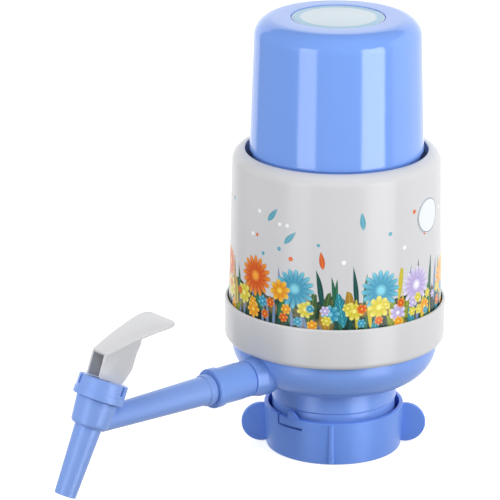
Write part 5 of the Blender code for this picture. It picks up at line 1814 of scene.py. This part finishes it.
@dataclass
class InnerWorks:
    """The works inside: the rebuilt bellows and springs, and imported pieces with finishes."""

    shop: Workshop
    nodes: dict[str, Thing]
    tap_axis: Matrix
    cap_travel: float = 0.052
    stem_travel: float = 0.003
    fold_count: int = 6
    fold_depth: float = 0.0060
    fold_rounding: float = 0.0014
    bellows_wall: float = 0.0008
    flange_thickness: float = 0.0015
    flange_width: float = 0.0070
    mouth_radius: float = 0.0200
    return_wire: float = 0.0016
    return_turns: int = 9
    tap_wire: float = 0.0009
    tap_turns: int = 4
    sides: int = 96

    def build(self) -> None:
        """Make the bellows and springs and give each packed inner piece its finish."""
        self.build_bellows()
        self.build_return_spring()
        self.build_tap_spring()
        finishes = self.shop.finishes
        dressing = {
            finishes.white: ("base_deck", "bellows_retainer", "bellows_top_plate"),
            finishes.rubber: ("spout_o_ring", "bonnet_gasket", "stem_washer", "intake_valve", "outlet_valve"),
        }
        for finish, names in dressing.items():
            for name in names:
                mesh = self.nodes[name].data
                mesh.materials.clear()
                mesh.materials.append(finish)
                LOG.info("%s: packed mesh with %s", name, finish.name)

    def bellows_corners(self, foot: float, top: float, flange_radius: float) -> list[Corner]:
        """List the section of the folded wall, its foot flange and its roof.

        Args:
            foot: Height of the flange's underside.
            top: Height of the roof's top.
            flange_radius: Radius of the foot flange.

        Returns:
            The section's corners, down the outside and up the inside.
        """
        valley_radius = flange_radius - self.flange_width
        fold_foot = foot + self.flange_thickness
        fold_top = top - self.flange_thickness
        fold = (fold_top - fold_foot) / self.fold_count
        wall_top = [(valley_radius, fold_top)]
        for index in range(self.fold_count):
            wall_top.append((valley_radius + self.fold_depth, fold_top - fold * (index + 1 / 2)))
            wall_top.append((valley_radius, fold_top - fold * (index + 1)))
        bend = self.fold_rounding
        section = [Corner(valley_radius, top, rounding=self.bellows_wall / 2)]
        section += [Corner(radius, height, rounding=bend) for radius, height in wall_top[:-1]]
        section += [
            Corner(valley_radius, fold_foot),
            Corner(flange_radius, fold_foot, rounding=self.bellows_wall / 2),
            Corner(flange_radius, foot, rounding=self.bellows_wall / 2),
            Corner(valley_radius - self.bellows_wall, foot),
        ]
        inside = [(radius - self.bellows_wall, height) for radius, height in reversed(wall_top[:-1])]
        section += [Corner(radius, height, rounding=bend) for radius, height in inside[:-1]]
        section += [
            Corner(*inside[-1]),
            Corner(self.mouth_radius, fold_top),
            Corner(self.mouth_radius, top),
        ]
        return section

    def build_bellows(self) -> None:
        """Turn the bellows."""
        low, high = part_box("bellows")
        finish = self.shop.finishes.white
        corners = self.bellows_corners(low.z, high.z, high.x)
        bellows = self.shop.lathe.turn("bellows_soft", corners, self.sides, finish)
        hand_over(smoothed(bellows), Body.BASE, Slot.WHITE, finish, "bellows")
        self.shorten(bellows)

    def build_return_spring(self) -> None:
        """Wind the spring that lifts the cap again."""
        low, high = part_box("return_spring")
        finish = self.shop.finishes.steel
        radius = high.x - self.return_wire / 2
        spring = self.shop.coil.wind(
            "return_spring_coil", radius, self.return_wire, high.z - low.z, self.return_turns, finish)
        placed(spring, Matrix.Translation((0, 0, low.z)))
        hand_over(smoothed(spring), Body.BASE, Slot.STEEL, finish, "return_spring")
        self.shorten(spring)

    def build_tap_spring(self) -> None:
        """Wind the spring that shuts the tap."""
        to_axis = self.tap_axis.inverted()
        spots = [to_axis @ vertex.co for vertex in self.nodes["tap_spring"].data.vertices]
        foot = min(spot.z for spot in spots)
        top = max(spot.z for spot in spots)
        radius = max(spot.xy.length for spot in spots) - self.tap_wire / 2
        finish = self.shop.finishes.steel
        spring = self.shop.coil.wind(
            "tap_spring_coil", radius, self.tap_wire, top - foot, self.tap_turns, finish)
        placed(spring, self.tap_axis @ Matrix.Translation((0, 0, foot)))
        hand_over(smoothed(spring), Body.SPOUT, Slot.STEEL, finish, "tap_spring")
        self.shorten(spring)

    def shorten(
        self, thing: Thing,
    ) -> None:
        """Give a soft piece a mesh of its own.

        Args:
            thing: The piece.
        """
        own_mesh(thing)


# Floor, lights and camera


@dataclass(frozen=True)
class AreaLamp:
    """A rectangular lamp aimed at a point, placed round the camera's azimuth."""

    name: str
    turn: float
    distance: float
    height: float
    width: float
    tall: float
    power: float
    aim_height: float


@dataclass(frozen=True)
class ReflectionPanel:
    """An upright bright panel that only shows in glossy surfaces."""

    name: str
    turn: float
    width: float
    foot: float
    top: float
    strength: float
    distance: float = 2.0


@dataclass
class Studio:
    """A plain pale floor, soft lamps and the camera."""

    camera_place: tuple[float, float, float] = (1.2937, -1.1410, 0.6674)
    camera_pitch: float = math.radians(71.82)
    camera_turn: float = math.radians(50.0)
    camera_roll: float = math.radians(0.26)
    lens: float = 262.8
    sensor: float = 36.0
    floor_half: float = 8.0
    floor_drop: float = 0.0002
    floor_glow: float = 0.66
    floor_bounce: float = 0.46
    floor_share: float = 0.75
    ambient: float = 0.46
    room_shine: float = 0.35
    table_depth: float = 1.4
    table_half: float = 3.0
    table_shine: float = 0.9
    lamps: tuple[AreaLamp, ...] = (
        AreaLamp("key", 54.0, 0.60, 0.33, 0.30, 0.30, 2.5, 0.12),
        AreaLamp("fill", -54.0, 0.60, 0.33, 0.30, 0.30, 1.82, 0.12),
        AreaLamp("back", 178.0, 0.80, 0.45, 0.40, 0.40, 2.2, 0.12),
        AreaLamp("top", 40.0, 0.25, 0.80, 0.40, 0.40, 0.45, 0.12),
    )
    panels: tuple[ReflectionPanel, ...] = (
        ReflectionPanel("right_panel", 49.0, 1.18, -1.4, 1.05, 7.0),
        ReflectionPanel("left_panel", -40.0, 0.88, -1.4, 1.05, 4.6),
        ReflectionPanel("side_panel", 105.0, 2.0, -1.4, 1.6, 1.5),
        ReflectionPanel("low_back_panel", 180.0, 4.4, -1.4, 0.05, 1.4),
        ReflectionPanel("high_back_panel", 180.0, 4.4, 0.05, 1.9, 1.5),
    )

    def build(self) -> None:
        """Make the world, the floor, the lamps and the camera."""
        bpy.context.scene.view_settings.view_transform = "Standard"
        self.make_world()
        self.make_floor()
        for lamp in self.lamps:
            self.make_lamp(lamp)
        for panel in self.panels:
            self.make_panel(panel)
        outline = rectangle(self.table_half, -self.table_half, self.table_half)
        corners = [Vector((x, y, -self.table_depth)) for x, y in outline]
        self.make_shine("table", corners, self.table_shine)
        self.make_camera()

    def make_world(self) -> None:
        """Light the scene evenly, with plain white behind it for camera and reflections."""
        world = bpy.data.worlds.new("studio")
        bpy.context.scene.world = world
        world.use_nodes = True
        sketch = Tree(world.node_tree)
        path = sketch.add("ShaderNodeLightPath").outputs
        lit = sketch.blend(path["Is Glossy Ray"], self.ambient, self.room_shine, "FLOAT")
        background = world.node_tree.nodes["Background"].inputs
        sketch.feed(background["Color"], WHITE)
        sketch.feed(background["Strength"], sketch.blend(path["Is Camera Ray"], lit, 1.0, "FLOAT"))

    def bare_material(self, name: str) -> tuple[Finish, Tree, Socket]:
        """Make a material without its usual shader.

        Args:
            name: Its name.

        Returns:
            The material, its tree and the socket that takes its surface.
        """
        material = bpy.data.materials.new(name)
        material.use_nodes = True
        nodes = material.node_tree.nodes
        nodes.remove(nodes["Principled BSDF"])
        return material, Tree(material.node_tree), nodes["Material Output"].inputs["Surface"]

    def make_floor(self) -> None:
        """Make the floor: white to the camera, with the object's shadow kept, and clear to reflections."""
        mesh = bpy.data.meshes.new("floor")
        with edited(mesh) as shape:
            bmesh.ops.create_grid(shape, x_segments=1, y_segments=1, size=self.floor_half)
        floor = placed(new_object("floor", mesh), Matrix.Translation((0, 0, -self.floor_drop)))
        material, sketch, surface = self.bare_material("pale_floor")
        matt, shown = (
            sketch.out("ShaderNodeBsdfDiffuse", {"Color": (share, share, share, 1.0)})
            for share in (self.floor_bounce, self.floor_share))
        glow = sketch.out("ShaderNodeEmission", {"Strength": self.floor_glow})
        lit = sketch.out("ShaderNodeAddShader", {0: shown, 1: glow})
        path = sketch.add("ShaderNodeLightPath").outputs
        seen = sketch.out("ShaderNodeMixShader", {0: path["Is Camera Ray"], 1: matt, 2: lit})
        clear = sketch.out("ShaderNodeBsdfTransparent")
        mixed = sketch.out("ShaderNodeMixShader", {0: path["Is Glossy Ray"], 1: seen, 2: clear})
        sketch.feed(surface, mixed)
        floor.data.materials.append(material)

    def azimuth(self, turn: float) -> float:
        """Return the azimuth that lies a number of degrees round from the camera's."""
        return math.atan2(self.camera_place[1], self.camera_place[0]) + math.radians(turn)

    def make_lamp(self, lamp: AreaLamp) -> None:
        """Add one lamp."""
        data = bpy.data.lights.new(lamp.name, "AREA")
        data.shape = "RECTANGLE"
        data.size = lamp.width
        data.size_y = lamp.tall
        data.energy = lamp.power
        thing = new_object(lamp.name, data)
        azimuth = self.azimuth(lamp.turn)
        spot = Vector((lamp.distance * math.cos(azimuth), lamp.distance * math.sin(azimuth), lamp.height))
        aim = Vector((0, 0, lamp.aim_height)) - spot
        thing.location = spot
        thing.rotation_euler = aim.to_track_quat("-Z", "Y").to_euler()
        thing.visible_camera = False
        thing.visible_glossy = False

    def make_panel(self, panel: ReflectionPanel) -> None:
        """Stand one bright panel where only reflections show it."""
        azimuth = self.azimuth(panel.turn)
        middle = Vector((math.cos(azimuth), math.sin(azimuth), 0)) * panel.distance
        aside = Vector((-math.sin(azimuth), math.cos(azimuth), 0)) * panel.width / 2
        outline = rectangle(1, panel.foot, panel.top)
        corners = [middle + aside * side + Vector((0, 0, level)) for side, level in outline]
        self.make_shine(panel.name, corners, panel.strength)

    def make_shine(self, name: str, corners: Sequence[Vector], strength: float) -> None:
        """Add one bright four-cornered face that only reflections show.

        Args:
            name: Its name.
            corners: Its corners in order.
            strength: Its brightness.
        """
        mesh = bpy.data.meshes.new(name)
        mesh.from_pydata(corners, [], [(0, 1, 2, 3)])
        thing = new_object(name, mesh)
        material, sketch, surface = self.bare_material(name)
        sketch.feed(surface, sketch.out("ShaderNodeEmission", {"Strength": strength}))
        material.cycles.emission_sampling = "NONE"
        mesh.materials.append(material)
        for use in ("camera", "diffuse", "transmission", "shadow"):
            setattr(thing, "visible_" + use, False)

    def make_camera(self) -> None:
        """Set the camera at the photograph's angle."""
        data = bpy.data.cameras.new("photo_camera")
        data.lens = self.lens
        data.sensor_width = self.sensor
        camera = new_object("photo_camera", data)
        turned = Euler((self.camera_pitch, 0, self.camera_turn)).to_matrix()
        turned = turned @ Matrix.Rotation(self.camera_roll, 3, "Z")
        camera.matrix_world = Matrix.Translation(self.camera_place) @ turned.to_4x4()
        bpy.context.scene.camera = camera


def main() -> None:
    """Load the frame, build the studio and every sub-assembly in order."""
    logging.basicConfig(level=logging.INFO, format="%(name)s: %(message)s")
    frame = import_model()
    Studio().build()
    shop = Workshop()
    CapAssembly(shop).build()
    Housing(shop).build()
    BaseMoulding(shop).build()
    LockingCollar(shop).build()
    tap = SpoutAndTap(shop)
    tap.build()
    InnerWorks(shop, frame["nodes"], tap.tap_axis).build()


if __name__ == "__main__":
    main()
